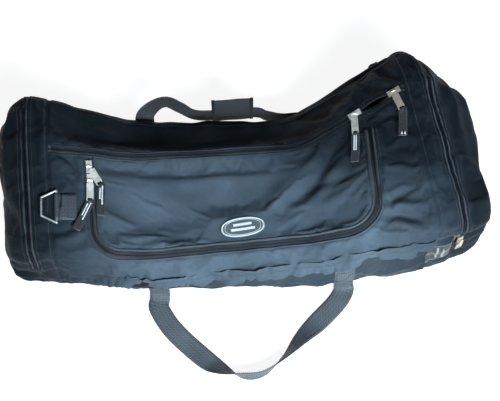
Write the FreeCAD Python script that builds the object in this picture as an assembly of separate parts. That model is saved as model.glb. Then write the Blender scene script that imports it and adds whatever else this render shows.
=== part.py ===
import FreeCAD, Part
import math
import os

# Large nylon sports duffel, lying on its base.
# Millimetres. +X runs along the bag, -Y is its front side, +Z is up, the floor is z = 0.

Vec = FreeCAD.Vector
X, Y, Z = Vec(1, 0, 0), Vec(0, 1, 0), Vec(0, 0, 1)
FAR = 600.0                     # reach of a cutting block, well outside the bag

# ---- fabric body -------------------------------------------------------------------
WALL = 3.0                      # lined nylon
# cross-sections along the bag: x, front y, back y, front top edge z, back top edge z
STATIONS = [
    (-405, -121, 203, 147, 214),
    (-200, -160, 178, 95, 137),
    (100, -191, 145, 125, 132),
    (330, -183, 193, 190, 266),
    (395, -160, 145, 182, 200),
]
CORNER_RADII = (25, 25, 55, 38)     # bottom front, bottom back, top back, top front
CAP_RADII = (18, 18, 22, 20)
# domed ends: x, how far the outline has drawn in, how far its foot has lifted
LEFT_DOME = [(-440, 12, 4), (-458, 32, 14), (-465, 56, 32)]
RIGHT_DOME = [(422, 12, 4), (435, 34, 14), (441, 60, 34)]

BASE_TOP = 22.0                 # base panel turns up this far
SOLE_T = 0.5                    # flat sole sewn under the base panel
SOLE = [(-360, -92), (-200, -130), (100, -161), (298, -155), (298, 160), (100, 116),
        (-200, 149), (-360, 168)]
BACK_SEAM = 22.0                # back panel reaches this far over the top, in plan
LEFT_SEAM_X = -362.0
END_SLANT = -0.0675             # the right end is set on slightly askew: dx per mm of y
RIGHT_SEAM_X = 309.5            # at y = 0
HEM_LINE = [(-362, 42), (-200, 52), (0, 78), (100, 95), (200, 120), (330, 142)]    # x, z
HEM_HEIGHT = 18.0

# ---- zips --------------------------------------------------------------------------
CHAIN_HALF = 7.0                # half the width of a zip's tape and teeth
SLOT_HALF = 1.5                 # gap between the two rows, which a slider's post rides in
SLOT_STOP = 6.0                 # rows stay joined over this length at each end
LEFT_ZIP_X = -402.0
RIGHT_ZIP_X = 357.0             # at y = 0
POCKET_FOOT = 85.0              # both pocket zips end, and their flaps fold, at this height
FLAP_GAP = 0.8
WET_ZIP = [(-352, 76), (-200, 66), (100, 46), (300, 93)]
WET_MOUTH = (226, 268, 5.0)     # x from, x to, half width of the part left open
LID_CORNERS = [(-291, -123), (222, -152), (242, 200), (-291, 200)]
LID_RADII = [48, 55, 20, 20]
LID_LEG_ENDS = ((-330, 63), (280, 33))
LID_GAP = 1.4
LID_FOLD = ((-291, 40), (242, -40))     # line the lid folds back along, in plan

# ---- sliders, pullers and tabs -----------------------------------------------------
SLIDER_LENGTH, SLIDER_WIDTH = 25.0, 11.0
PLATE = 2.2                     # thickness of a slider's two plates
PLATE_GAP = 1.3                 # plate to chain
POST_LENGTH, POST_WIDTH = 8.0, 0.9
BAIL_HEIGHT = 6.0               # bail pin above the chain
BAIL_PIN_R = 1.0
BAIL_SPAN = 8.0                 # clear length of the pin between its two cheeks
CHEEK, CHEEK_DEPTH = 1.5, 1.4     # thickness, and half its size along the slider
EYE_R, EYE_HOLE_R, EYE_LENGTH = 2.3, 1.5, 5.6
PULLER_LENGTH, PULLER_WIDTH, PULLER_T = 42.0, 13.0, 2.0
NECK_LENGTH, NECK_WIDTH = 8.0, 3.0
SLOT_LENGTH, SLOT_WIDTH = 5.0, 9.0      # window at the puller's end that the tab loops through
END_BAR = 2.0
TAB_WIDTH, TAB_T = 16.0, 2.4
TAB_LOOP_WIDTH, TAB_LOOP_HOLE, TAB_LOOP_WALL = 7.4, 3.6, 0.8

# ---- webbing and rings -------------------------------------------------------------
WEBBING = 38.0                  # handle webbing
WEBBING_T = 2.0
SEWN_GAP = 0.2                  # a sewn-on piece lies this far off the cloth
HANDLE_X = (-186.0, 160.0)
FRONT_RELEASE_Z, BACK_RELEASE_Z = 28.0, 30.0
RING_WIRE_R = 2.1
RING_BAR, RING_OUTER, RING_DEPTH = 61.0, 34.0, 27.0
RING_WEBBING = 50.0
CHANNEL_R, CHANNEL_HOLE_R = 4.4, 2.9


# ==== plane geometry ================================================================
def between(x, column):
    """Value of one column of STATIONS at x, straight between two stations."""
    if x <= STATIONS[0][0]:
        return float(STATIONS[0][column])
    for a, b in zip(STATIONS, STATIONS[1:]):
        if x <= b[0]:
            return a[column] + (b[column] - a[column]) * (x - a[0]) / (b[0] - a[0])
    return float(STATIONS[-1][column])


def along(points, x):
    """Second coordinate of a broken line at x."""
    for a, b in zip(points, points[1:]):
        if x <= b[0] or b is points[-1]:
            return a[1] + (b[1] - a[1]) * (x - a[0]) / (b[0] - a[0])


def flat_points(pairs):
    return [Vec(u, v, 0) for u, v in pairs]


def drawn_in(corners, insets):
    """Convex anticlockwise outline with each side moved inwards by its own inset."""
    count = len(corners)
    sides = []
    for i in range(count):
        start, run = corners[i], (corners[(i + 1) % count] - corners[i]).normalize()
        sides.append((start + Vec(-run.y, run.x, 0) * insets[i], run))
    moved = []
    for i in range(count):
        (p, u), (q, v) = sides[i - 1], sides[i]
        reach = ((q.x - p.x) * v.y - (q.y - p.y) * v.x) / (u.x * v.y - u.y * v.x)
        moved.append(p + u * reach)
    return moved


def rounded(corners, radii, place):
    """Closed wire round the corners with an arc at each; place puts a flat point in space."""
    count = len(corners)
    arcs = []
    for i in range(count):
        here = corners[i]
        back = (corners[i - 1] - here).normalize()
        on = (corners[(i + 1) % count] - here).normalize()
        half = back.getAngle(on) / 2
        middle = (back + on).normalize()
        reach = radii[i] / math.tan(half)
        crown = here + middle * (radii[i] / math.sin(half) - radii[i])
        arcs.append((here + back * reach, crown, here + on * reach))
    edges = []
    for arc, following in zip(arcs, arcs[1:] + arcs[:1]):
        edges.append(Part.Arc(*[place(p) for p in arc]).toShape())
        edges.append(Part.makeLine(place(arc[2]), place(following[0])))
    return Part.Wire(edges)


# ==== cutting blocks ================================================================
def box(x, y, z):
    return Part.makeBox(x[1] - x[0], y[1] - y[0], z[1] - z[0], Vec(x[0], y[0], z[0]))


def column(pairs, low=-10.0, high=FAR):
    """Upright prism over a plan polygon."""
    ring = [Vec(x, y, low) for x, y in pairs]
    return Part.Face(Part.makePolygon(ring + ring[:1])).extrude(Z * (high - low))


def plank(pairs, y_from, y_to):
    """Prism along Y through a polygon drawn in x and z."""
    ring = [Vec(x, y_from, z) for x, z in pairs]
    return Part.Face(Part.makePolygon(ring + ring[:1])).extrude(Y * (y_to - y_from))


def above(z):
    return box((-FAR, FAR), (-FAR, FAR), (z, FAR))


def below(z):
    return box((-FAR, FAR), (-FAR, FAR), (-FAR, z))


def askew(x_from, x_to, slant=END_SLANT):
    """Upright slab between two parallel planes that lean in plan by slant."""
    reach = 400.0
    return column([(x_from - slant * reach, -reach), (x_to - slant * reach, -reach),
                   (x_to + slant * reach, reach), (x_from + slant * reach, reach)], -FAR)


def strip_along(points, below_by, above_by, x_from, x_to):
    """Upright prism that follows a broken line in plan, between two offsets in y."""
    xs = [x_from] + [p[0] for p in points if x_from < p[0] < x_to] + [x_to]
    near = [(x, along(points, x) + below_by) for x in xs]
    return column(near + [(x, along(points, x) + above_by) for x in reversed(xs)])


def lid_block(inset):
    """Upright prism inside the lid's zip line, drawn in by inset."""
    corners = drawn_in(flat_points(LID_CORNERS), [inset] * 4)
    radii = [r - inset for r in LID_RADII]
    return Part.Face(rounded(corners, radii, lambda p: p)).extrude(Z * FAR)


def in_front_of(line, gap=0.0):
    """Everything on the -Y side of a plan line, drawn back by gap."""
    (xa, ya), (xb, yb) = line
    slope = (yb - ya) / (xb - xa)
    at = [(x, ya + slope * (x - xa) - gap) for x in (-FAR, FAR)]
    return column([(-FAR, -FAR), (FAR, -FAR), at[1], at[0]])


# ==== the fabric body ===============================================================
def body_section(x, station_x, inset, foot, radii, grow):
    """Outline of the bag at x, shaped as at station_x."""
    front, back, z_front, z_back = [between(station_x, c) for c in (1, 2, 3, 4)]
    corners = flat_points([(front, 0), (back, 0), (back, z_back), (front, z_front)])
    side = inset - grow
    corners = drawn_in(corners, [foot - grow, side, side, side])
    return rounded(corners, [r + grow for r in radii], lambda p: Vec(x, p.x, p.y))


def body(grow):
    """Whole outside of the bag as one solid, grown outwards by grow (inwards if negative)."""
    sections = []
    for x, inset, foot in reversed(LEFT_DOME):
        radii = CAP_RADII if x == LEFT_DOME[-1][0] else CORNER_RADII
        sections.append(body_section(x - grow, STATIONS[0][0], inset, foot, radii, grow))
    for station in STATIONS:
        sections.append(body_section(station[0], station[0], 0, 0, CORNER_RADII, grow))
    for x, inset, foot in RIGHT_DOME:
        radii = CAP_RADII if x == RIGHT_DOME[-1][0] else CORNER_RADII
        sections.append(body_section(x + grow, STATIONS[-1][0], inset, foot, radii, grow))
    return Part.makeLoft(sections, True, True)


def top_point(x, y):
    """Point on the flat of the top face over x, y."""
    front, back, z_front, z_back = [between(x, c) for c in (1, 2, 3, 4)]
    return Vec(x, y, z_front + (z_back - z_front) * (y - front) / (back - front))


def top_frame(x, y, heading):
    """Origin, heading, side and outward normal on the top face; heading is a plan vector."""
    step = 2.0
    along_x = top_point(x + step, y) - top_point(x - step, y)
    along_y = top_point(x, y + step) - top_point(x, y - step)
    normal = along_x.cross(along_y).normalize()
    here = top_point(x, y)
    run = (top_point(x + heading[0] * step, y + heading[1] * step) - here).normalize()
    return here, run, normal.cross(run), normal


outer = body(0)
inner = body(-WALL)
shell = outer.cut(inner)


def sewn(grow, thickness):
    """A skin of cloth lying on the bag at a distance grow."""
    return body(grow + thickness).cut(body(grow))


parts = {}

# ends: everything beyond the two pocket zips
left_of_zip = box((-FAR, LEFT_ZIP_X - CHAIN_HALF), (-FAR, FAR), (-FAR, FAR))
left_band_x = (LEFT_ZIP_X + CHAIN_HALF, LEFT_SEAM_X)
left_end = box((-FAR, left_band_x[0]), (-FAR, FAR), (-FAR, FAR))
right_end = askew(RIGHT_ZIP_X - CHAIN_HALF, FAR)
parts["left_end_panel"] = shell.common(left_end).common(below(POCKET_FOOT))
parts["right_end_panel"] = shell.common(right_end).common(below(POCKET_FOOT))

flap_top = above(POCKET_FOOT + FLAP_GAP)
parts["left_pocket_flap"] = shell.common(flap_top).common(
    box((-FAR, LEFT_ZIP_X - CHAIN_HALF - FLAP_GAP), (-FAR, FAR), (-FAR, FAR)))
parts["right_pocket_flap"] = shell.common(flap_top).common(
    askew(RIGHT_ZIP_X + CHAIN_HALF + FLAP_GAP, FAR))

chain_top, slot_top = above(POCKET_FOOT), above(POCKET_FOOT + SLOT_STOP)
for side, zip_x, slant in (("left", LEFT_ZIP_X, 0.0), ("right", RIGHT_ZIP_X, END_SLANT)):
    band = askew(zip_x - CHAIN_HALF, zip_x + CHAIN_HALF, slant)
    slot = askew(zip_x - SLOT_HALF, zip_x + SLOT_HALF, slant).common(slot_top)
    parts[side + "_zip_chain"] = shell.common(band).common(chain_top).cut(slot)

# long panels between the two ends
middle = askew(-FAR, RIGHT_ZIP_X - CHAIN_HALF).common(
    box((left_band_x[0], FAR), (-FAR, FAR), (-FAR, FAR)))
sole = column(SOLE, 0, SOLE_T)
parts["base_panel"] = shell.common(middle).common(below(BASE_TOP)).common(
    above(SOLE_T)).fuse(sole).removeSplitter()
walls = shell.common(middle).common(above(BASE_TOP))
parts["left_band"] = walls.common(box(left_band_x, (-FAR, FAR), (0, FAR)))
parts["right_band"] = walls.common(askew(RIGHT_SEAM_X, FAR))
walls = walls.common(askew(-FAR, RIGHT_SEAM_X)).common(
    box((LEFT_SEAM_X, FAR), (-FAR, FAR), (0, FAR)))

low_front = plank([(-FAR, 0), (FAR, 0), (FAR, HEM_LINE[-1][1])]
                  + [p for p in reversed(HEM_LINE)] + [(-FAR, HEM_LINE[0][1])], -FAR, -60)
parts["front_lower_panel"] = walls.common(low_front)
walls = walls.cut(low_front)

back_line = [(s[0], s[2] - BACK_SEAM) for s in STATIONS]
behind = strip_along(back_line, 0, FAR, LEFT_SEAM_X - 1, 380)
parts["back_panel"] = walls.common(behind)
top = walls.cut(behind)

zip_ends = (WET_ZIP[0][0], WET_ZIP[-1][0])
beyond_wet_zip = strip_along(WET_ZIP, CHAIN_HALF, FAR, LEFT_SEAM_X - 1, 380)
wet_band = strip_along(WET_ZIP, -CHAIN_HALF, CHAIN_HALF, *zip_ends)
wet_slot = strip_along(WET_ZIP, -SLOT_HALF, SLOT_HALF,
                       zip_ends[0] + SLOT_STOP, zip_ends[1] - SLOT_STOP)
mouth_from, mouth_to, mouth_half = WET_MOUTH
mouth_mid = (mouth_from + mouth_to) / 2
mouth = column([(mouth_from, along(WET_ZIP, mouth_from)),
                (mouth_mid, along(WET_ZIP, mouth_mid) - mouth_half),
                (mouth_to, along(WET_ZIP, mouth_to)),
                (mouth_mid, along(WET_ZIP, mouth_mid) + mouth_half)])
parts["top_back_panel"] = top.common(beyond_wet_zip)
parts["wet_zip_chain"] = top.common(wet_band).cut(wet_slot).cut(mouth)
top = top.cut(beyond_wet_zip).cut(wet_band)

legs = in_front_of(LID_LEG_ENDS)
lid_band = lid_block(-CHAIN_HALF).cut(lid_block(CHAIN_HALF)).common(legs)
lid_slot = lid_block(-SLOT_HALF).cut(lid_block(SLOT_HALF)).common(
    in_front_of(LID_LEG_ENDS, SLOT_STOP))
parts["lid_zip_chain"] = top.common(lid_band).cut(lid_slot)
top = top.cut(lid_band)
lid_edge = CHAIN_HALF + LID_GAP
lid_zone = lid_block(lid_edge).common(in_front_of(LID_FOLD, LID_GAP))
parts["lid_panel"] = top.common(lid_zone)
parts["top_front_panel"] = top.cut(lid_block(CHAIN_HALF).common(in_front_of(LID_FOLD)))

# inner walls: one behind each end pocket, one between the wet and the dry side
wall_room = body(-WALL)
left_wall_x = LEFT_ZIP_X + 12
parts["left_pocket_wall"] = wall_room.common(
    box((left_wall_x, left_wall_x + 2), (-FAR, FAR), (-FAR, FAR)))
parts["right_pocket_wall"] = wall_room.common(askew(RIGHT_ZIP_X - 14, RIGHT_ZIP_X - 12))
divider = strip_along(WET_ZIP, -CHAIN_HALF - 8, -CHAIN_HALF - 6, LEFT_SEAM_X - 20, 380)
parts["wet_divider"] = wall_room.common(divider).common(
    box((left_wall_x + 2.2, FAR), (-FAR, FAR), (-FAR, FAR))).common(
    askew(-FAR, RIGHT_ZIP_X - 14.2)).cut(
    box((-306, -276), (-FAR, FAR), (128, FAR)))         # notch that clears the lid's slider

# ==== pieces sewn on the outside ====================================================
hem_band = plank([(x, z - 2) for x, z in HEM_LINE]
                 + [(x, z + HEM_HEIGHT) for x, z in reversed(HEM_LINE)], -FAR, -60)
parts["front_hem"] = sewn(SEWN_GAP, 3.4).common(hem_band).common(
    box((-330, 316), (-FAR, 0), (0, FAR)))

webbing_skin = sewn(SEWN_GAP, WEBBING_T)
half = WEBBING / 2
for side, x in zip(("left", "right"), HANDLE_X):
    lane = (x - half, x + half)
    hem_z = min(along(HEM_LINE, x - half), along(HEM_LINE, x + half))
    parts["front_anchor_" + side] = webbing_skin.common(
        box(lane, (-FAR, -60), (FRONT_RELEASE_Z + 2, hem_z - 3)))
    parts["back_anchor_" + side] = webbing_skin.common(
        box(lane, (60, FAR), (3, BACK_RELEASE_Z - 2)))

thin_skin = sewn(SEWN_GAP, 1.6)
parts["label_tab"] = thin_skin.common(box((312, 358), (-FAR, -60), (52, 104)))
badge_block = Part.Face(rounded(flat_points([(-62, -120), (22, -120), (22, -82), (-62, -82)]),
                                [8] * 4, lambda p: p)).extrude(Z * FAR)
parts["badge"] = thin_skin.common(badge_block)
piping_band = lid_block(lid_edge).cut(lid_block(lid_edge + 3))
parts["lid_piping"] = sewn(SEWN_GAP, 2.6).common(piping_band).common(
    in_front_of(LID_FOLD, LID_GAP))


# ==== zip sliders, pullers and tabs =================================================
def local(frame, u, v, w):
    """Point u along the heading, v to its side and w off the surface."""
    here, run, side, normal = frame
    return here + run * u + side * v + normal * w


def block(frame, u, v, w):
    """Box between ranges of u, v and w in a local frame."""
    ring = [local(frame, a, b, w[0]) for a, b in ((u[0], v[0]), (u[1], v[0]),
                                                  (u[1], v[1]), (u[0], v[1]))]
    return Part.Face(Part.makePolygon(ring + ring[:1])).extrude(frame[3] * (w[1] - w[0]))


def rod(centre, direction, length, radius):
    return Part.makeCylinder(radius, length, centre - direction * (length / 2), direction)


def slider(frame, pin, room):
    """Slider on the chain; pin is the direction of its bail pin, room is under the chain."""
    plate = (SLIDER_LENGTH / 2, SLIDER_WIDTH / 2)
    foot = -WALL - room
    top_plate = block(frame, (-plate[0], plate[0]), (-plate[1], plate[1]),
                      (PLATE_GAP, PLATE_GAP + PLATE))
    solid = top_plate.fuse([
        block(frame, (-plate[0], plate[0]), (-plate[1], plate[1]), (foot - PLATE, foot)),
        block(frame, (-POST_LENGTH / 2, POST_LENGTH / 2), (-POST_WIDTH / 2, POST_WIDTH / 2),
              (foot, PLATE_GAP))])
    centre = local(frame, 0, 0, BAIL_HEIGHT)
    solid = solid.fuse(rod(centre, pin, BAIL_SPAN + 2 * CHEEK, BAIL_PIN_R))
    across = frame[3].cross(pin)
    for end in (-1, 1):
        root = centre + pin * (end * (BAIL_SPAN + CHEEK) / 2)
        cheek = (root, pin, across, frame[3])
        solid = solid.fuse(block(cheek, (-CHEEK / 2, CHEEK / 2), (-CHEEK_DEPTH, CHEEK_DEPTH),
                                 (PLATE_GAP + PLATE / 2 - BAIL_HEIGHT, CHEEK_DEPTH)))
    return solid.removeSplitter()


def puller(frame, pin, heading, length):
    """Flat metal puller whose eye turns on the bail pin."""
    centre = local(frame, 0, 0, BAIL_HEIGHT)
    own = (centre, heading, frame[3].cross(heading), frame[3])
    t = PULLER_T / 2
    plate = block(own, (EYE_HOLE_R + 0.2, NECK_LENGTH), (-NECK_WIDTH / 2, NECK_WIDTH / 2),
                  (-t, t))
    plate = plate.fuse(block(own, (NECK_LENGTH - 1, length),
                             (-PULLER_WIDTH / 2, PULLER_WIDTH / 2), (-t, t)))
    eye = rod(centre, pin, EYE_LENGTH, EYE_R)
    solid = plate.fuse(eye).cut(rod(centre, pin, EYE_LENGTH * 3, EYE_HOLE_R))
    window = (length - END_BAR - SLOT_LENGTH, length - END_BAR)
    return solid.cut(block(own, window, (-SLOT_WIDTH / 2, SLOT_WIDTH / 2), (-t * 2, t * 2)))


def tab(frame, heading, reach, tab_heading, length):
    """Webbing tab looped round the end bar of a puller."""
    normal = frame[3]
    bar = local(frame, 0, 0, BAIL_HEIGHT) + heading * (reach - END_BAR / 2)
    loop = (bar, heading, normal.cross(heading), normal)
    r = TAB_LOOP_HOLE / 2
    w = r + TAB_LOOP_WALL
    half_loop = TAB_LOOP_WIDTH / 2
    solid = block(loop, (-w, w + 0.6), (-half_loop, half_loop), (-w, w))
    own = (bar + heading * (w + 0.4), tab_heading, normal.cross(tab_heading), normal)
    strap = block(own, (0, length), (-TAB_WIDTH / 2, TAB_WIDTH / 2), (-TAB_T / 2, TAB_T / 2))
    bar_room = block(loop, (-r - 1.0, r + 1.0), (-TAB_WIDTH, TAB_WIDTH), (-w * 2, w * 2))
    strap = strap.cut(bar_room)
    hole = block(loop, (-r, r), (-TAB_WIDTH, TAB_WIDTH), (-r, r))
    return solid.fuse(strap).cut(hole).removeSplitter()


def plan_heading(frame, direction):
    """Unit vector in the frame's tangent plane that lies over a plan direction."""
    normal = frame[3]
    rise = -(normal.x * direction[0] + normal.y * direction[1]) / normal.z
    return Vec(direction[0], direction[1], rise).normalize()


def zip_set(name, frame, heading, tab_heading, tab_length, pin=None, length=PULLER_LENGTH,
            room=PLATE_GAP):
    """Slider, puller and (if tab_length) webbing tab, laid flat over the surface."""
    pin = pin or heading.cross(frame[3]).normalize()
    parts[name + "_slider"] = slider(frame, pin, room)
    parts[name + "_puller"] = puller(frame, pin, heading, length)
    if tab_length:
        parts[name + "_tab"] = tab(frame, heading, length, tab_heading, tab_length)


wet_run = (200.0, 47.0)         # plan direction of the wet zip where its sliders sit
for name, x, puller_way, tab_way, tab_length in (
        ("wet_a", 212, (-4, -44), (-10, -53), 54), ("wet_b", 284, (10, -42), (-8, -47), 50)):
    frame = top_frame(x, along(WET_ZIP, x), (wet_run[0] / 206, wet_run[1] / 206))
    zip_set(name, frame, plan_heading(frame, puller_way), plan_heading(frame, tab_way),
            tab_length)

fold_a, fold_b = [top_point(*end) for end in LID_FOLD]
fold_run = (fold_b - fold_a).normalize()
leg_x = LID_CORNERS[0][0]
frame = top_frame(leg_x, 15, (0, -1))
zip_set("lid_a", frame, plan_heading(frame, (-3, -44)), plan_heading(frame, (-28, -54)), 60)
frame = top_frame(leg_x, 42, (0, -1))
zip_set("lid_b", frame, plan_heading(frame, (18, -36)), plan_heading(frame, (-5, -62)), 60,
        pin=(fold_run - frame[3] * fold_run.dot(frame[3])).normalize())


def side_frame(x, z, side):
    """Local frame on the front (side 1) or back (side 2) face, heading up."""
    y = between(x, side)
    run = Vec(2, between(x + 1, side) - between(x - 1, side), 0).normalize()
    normal = run.cross(Z) if side == 1 else Z.cross(run)
    return Vec(x, y, z), Z, normal.cross(Z), normal


right_slider_x = 368.45
pocket_zips = {"left": side_frame(LEFT_ZIP_X, 112, 2), "right": side_frame(right_slider_x, 112, 1)}
for name, frame in pocket_zips.items():
    zip_set(name + "_pocket", frame, Z * -1, None, 0, length=26, room=2.1)


# ==== rings on their webbing ========================================================
def ring(centre, heading, bar_way):
    """D-ring of round wire: a straight bar, two slanting sides and a shorter outer side."""
    tip = centre + heading * RING_DEPTH
    knots = [centre - bar_way * (RING_BAR / 2), centre + bar_way * (RING_BAR / 2),
             tip + bar_way * (RING_OUTER / 2), tip - bar_way * (RING_OUTER / 2)]
    solid = Part.makeSphere(RING_WIRE_R, knots[0])
    for a, b in zip(knots, knots[1:] + knots[:1]):
        solid = solid.fuse([rod((a + b) / 2, (b - a).normalize(), (b - a).Length, RING_WIRE_R),
                            Part.makeSphere(RING_WIRE_R, b)])
    return solid.removeSplitter()


def ring_loop(frame, patch):
    """Webbing folded round the ring's bar and sewn flat to the bag."""
    here, heading, bar_way, normal = frame
    centre = here + normal * (CHANNEL_R + 0.5)
    span = RING_WEBBING / 2
    channel = rod(centre, bar_way, RING_WEBBING, CHANNEL_R)
    root = block((centre, heading, bar_way, normal), (-9, 0), (-span, span),
                 (-CHANNEL_R, -CHANNEL_R + 2.6))
    hole = rod(centre, bar_way, RING_WEBBING * 2, CHANNEL_HOLE_R)
    return channel.fuse([root, patch]).cut(hole).removeSplitter()


loop_skin = sewn(SEWN_GAP, 2.4)
here, run, side, normal = top_frame(-352, -36, (-1, 0))
left_ring_frame = (here, run, side, normal)
patch = loop_skin.common(box((-348, -316), (-36 - RING_WEBBING / 2, -36 + RING_WEBBING / 2),
                             (60, FAR)))
parts["left_ring_loop"] = ring_loop(left_ring_frame, patch)
parts["left_ring"] = ring(here + normal * (CHANNEL_R + 0.5), run, side)

ring_z = 150.0
here, up, across, normal = side_frame(300, ring_z, 2)
run = up.cross(normal) if up.cross(normal).x > 0 else normal.cross(up)
right_ring_frame = (here, run, up, normal)
patch = loop_skin.common(box((262, 296), (60, FAR), (ring_z - RING_WEBBING / 2,
                                                     ring_z + RING_WEBBING / 2)))
parts["right_ring_loop"] = ring_loop(right_ring_frame, patch)
parts["right_ring"] = ring(here + normal * (CHANNEL_R + 0.5), run, up)


# ==== the two handles ===============================================================
def eased(path, steps=6):
    """The same path with more points on a smooth curve, its width direction turning evenly."""
    finer = []
    for i in range(len(path) - 1):
        p0, p1 = path[max(i - 1, 0)][0], path[i][0]
        p2, p3 = path[i + 1][0], path[min(i + 2, len(path) - 1)][0]
        w1, w2 = Vec(path[i][1]).normalize(), Vec(path[i + 1][1]).normalize()
        for k in range(steps):
            t = k / steps
            here = (p1 * 2 + (p2 - p0) * t + (p0 * 2 - p1 * 5 + p2 * 4 - p3) * t ** 2
                    + (p1 * 3 - p0 - p2 * 3 + p3) * t ** 3) * 0.5
            finer.append((here, w1 * (1 - t) + w2 * t))
    return finer + [path[-1]]


def strap(path):
    """Flat webbing along a path of points, each with the direction of the webbing's width."""
    sections = []
    path = eased(path)
    for i, (here, width_way) in enumerate(path):
        before, after = path[max(i - 1, 0)][0], path[min(i + 1, len(path) - 1)][0]
        run = (after - before).normalize()
        wide = (width_way - run * width_way.dot(run)).normalize()
        thick = run.cross(wide) * (WEBBING_T / 2)
        wide = wide * (WEBBING / 2)
        ring_points = [here - wide - thick, here + wide - thick,
                       here + wide + thick, here - wide + thick]
        sections.append(Part.makePolygon(ring_points + ring_points[:1]))
    return Part.makeLoft(sections, True, True)


left_x, right_x = HANDLE_X
front_left, front_right = between(left_x, 1) - 2.0, between(right_x, 1) - 2.0
left_lie, right_lie = Vec(1, -0.103, 0), Vec(-1, -0.035, 0)     # width, along the front face
parts["front_handle"] = strap([
    (Vec(left_x, front_left, FRONT_RELEASE_Z), left_lie),
    (Vec(left_x, front_left - 5, 12), left_lie),
    (Vec(left_x - 2, front_left - 16, 4.0), X),
    (Vec(-190, -196, 2.2), X),
    (Vec(-166, -243, 2.2), Vec(49, 24, 0)),
    (Vec(-115, -303, 4), Vec(62, 50, -10)),
    (Vec(-84, -331, 14.8), Vec(20, 35, -40)),
    (Vec(-50, -348, 19.8), Z * -1),
    (Vec(-12, -348, 19.8), Z * -1),
    (Vec(30, -322, 19.5), Vec(-8, 14, -40)),
    (Vec(68, -287, 13.5), Vec(-25, 35, -30)),
    (Vec(106, -255, 3.2), Vec(-30, 40, -2)),
    (Vec(142, -225, 2.2), Vec(-40, 30, 0)),
    (Vec(right_x, front_right - 12, 4.6), X * -1),
    (Vec(right_x, front_right - 4, 12), right_lie),
    (Vec(right_x, front_right, FRONT_RELEASE_Z), right_lie),
])

back_left, back_right = between(left_x, 2) + 5, between(right_x, 2) + 5
back_strap = strap([
    (Vec(left_x, back_left, BACK_RELEASE_Z), X),
    (Vec(left_x, back_left + 4, 54), X),
    (Vec(left_x + 4, back_left + 12, 75), Vec(40, 0, -20)),
    (Vec(-160, 204, 89), Vec(20, 0, -40)),
    (Vec(-136, 209, 88), Z * -1),
    (Vec(-112, 202, 74), Vec(-8, 0, -40)),
    (Vec(-86, 191, 61), Z * -1),
    (Vec(-50, 187, 57), Z * -1),
    (Vec(36, 184, 57), Z * -1),
    (Vec(62, 175, 53), Z * -1),
    (Vec(92, 166, 51), Z * -1),
    (Vec(122, 164, 52), Z * -1),
    (Vec(right_x - 13, 165, 45), Vec(-28, 0, -28)),
    (Vec(right_x, back_right, BACK_RELEASE_Z), X * -1),
])
parts["back_handle"] = back_strap
wrap_frame = (Vec(-7, 185.5, 72), Vec(86, -3, 0).normalize(), Z, Vec(3, 86, 0).normalize())
parts["grip_wrap"] = block(wrap_frame, (-41, 41), (-38, 38), (-3.2, 3.2)).cut(back_strap)

os.makedirs("parts", exist_ok=True)
for name, shape in parts.items():
    shape.exportStep("parts/" + name + ".step")
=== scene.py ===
import math
import bpy
import numpy as np
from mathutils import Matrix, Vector


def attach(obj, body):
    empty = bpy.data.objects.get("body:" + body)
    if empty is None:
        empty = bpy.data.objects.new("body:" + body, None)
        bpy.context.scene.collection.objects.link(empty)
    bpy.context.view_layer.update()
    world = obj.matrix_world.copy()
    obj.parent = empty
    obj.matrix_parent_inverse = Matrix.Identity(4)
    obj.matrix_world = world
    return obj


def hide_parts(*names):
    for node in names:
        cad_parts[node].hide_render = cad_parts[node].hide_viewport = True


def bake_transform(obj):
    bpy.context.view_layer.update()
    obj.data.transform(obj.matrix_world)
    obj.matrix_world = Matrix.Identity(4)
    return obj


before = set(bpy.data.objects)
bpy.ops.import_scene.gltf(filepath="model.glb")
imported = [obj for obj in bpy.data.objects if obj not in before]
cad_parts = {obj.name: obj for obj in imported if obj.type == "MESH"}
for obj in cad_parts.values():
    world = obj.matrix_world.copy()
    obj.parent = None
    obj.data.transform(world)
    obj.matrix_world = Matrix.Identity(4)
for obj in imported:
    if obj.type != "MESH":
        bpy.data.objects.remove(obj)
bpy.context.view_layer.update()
MM = 0.001

# ==== sizes shared with the CAD source, in millimetres ==============================
STATIONS = np.array([
    (-405, -121, 203, 147, 214), (-200, -160, 178, 95, 137), (100, -191, 145, 125, 132),
    (330, -183, 193, 190, 266), (395, -160, 145, 182, 200)], float)
CORNER_RADII = np.array((25, 25, 55, 38), float)
CAP_RADII = np.array((18, 18, 22, 20), float)
LEFT_DOME = [(-405, 0, 0), (-440, 12, 4), (-458, 32, 14), (-465, 56, 32)]
RIGHT_DOME = [(395, 0, 0), (422, 12, 4), (435, 34, 14), (441, 60, 34)]
BASE_TOP, BACK_SEAM = 22.0, 22.0
LEFT_SEAM_X, RIGHT_SEAM_X, END_SLANT = -362.0, 309.5, -0.0675
LEFT_ZIP_X, RIGHT_ZIP_X, POCKET_FOOT = -402.0, 357.0, 85.0
HEM_LINE = np.array([(-362, 42), (-200, 52), (0, 78), (100, 95), (200, 120), (330, 142)], float)
WET_ZIP = np.array([(-352, 76), (-200, 66), (100, 46), (300, 93)], float)
LID_CORNERS = np.array([(-291, -123), (222, -152), (242, 200), (-291, 200)], float)
LID_RADII = [48, 55, 20, 20]
LID_LEG_ENDS = ((-330, 63), (280, 33))
LID_FOLD = ((-291, 40), (242, -40))
CHAIN_HALF = 7.0
HANDLE_X = (-186.0, 160.0)


# ==== small tools ===================================================================
def step(a, b, x):
    t = np.clip((np.asarray(x, float) - a) / (b - a), 0, 1)
    return t * t * (3 - 2 * t)


def bump(x, centre, width):
    return np.exp(-((np.asarray(x, float) - centre) / width) ** 2)


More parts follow.
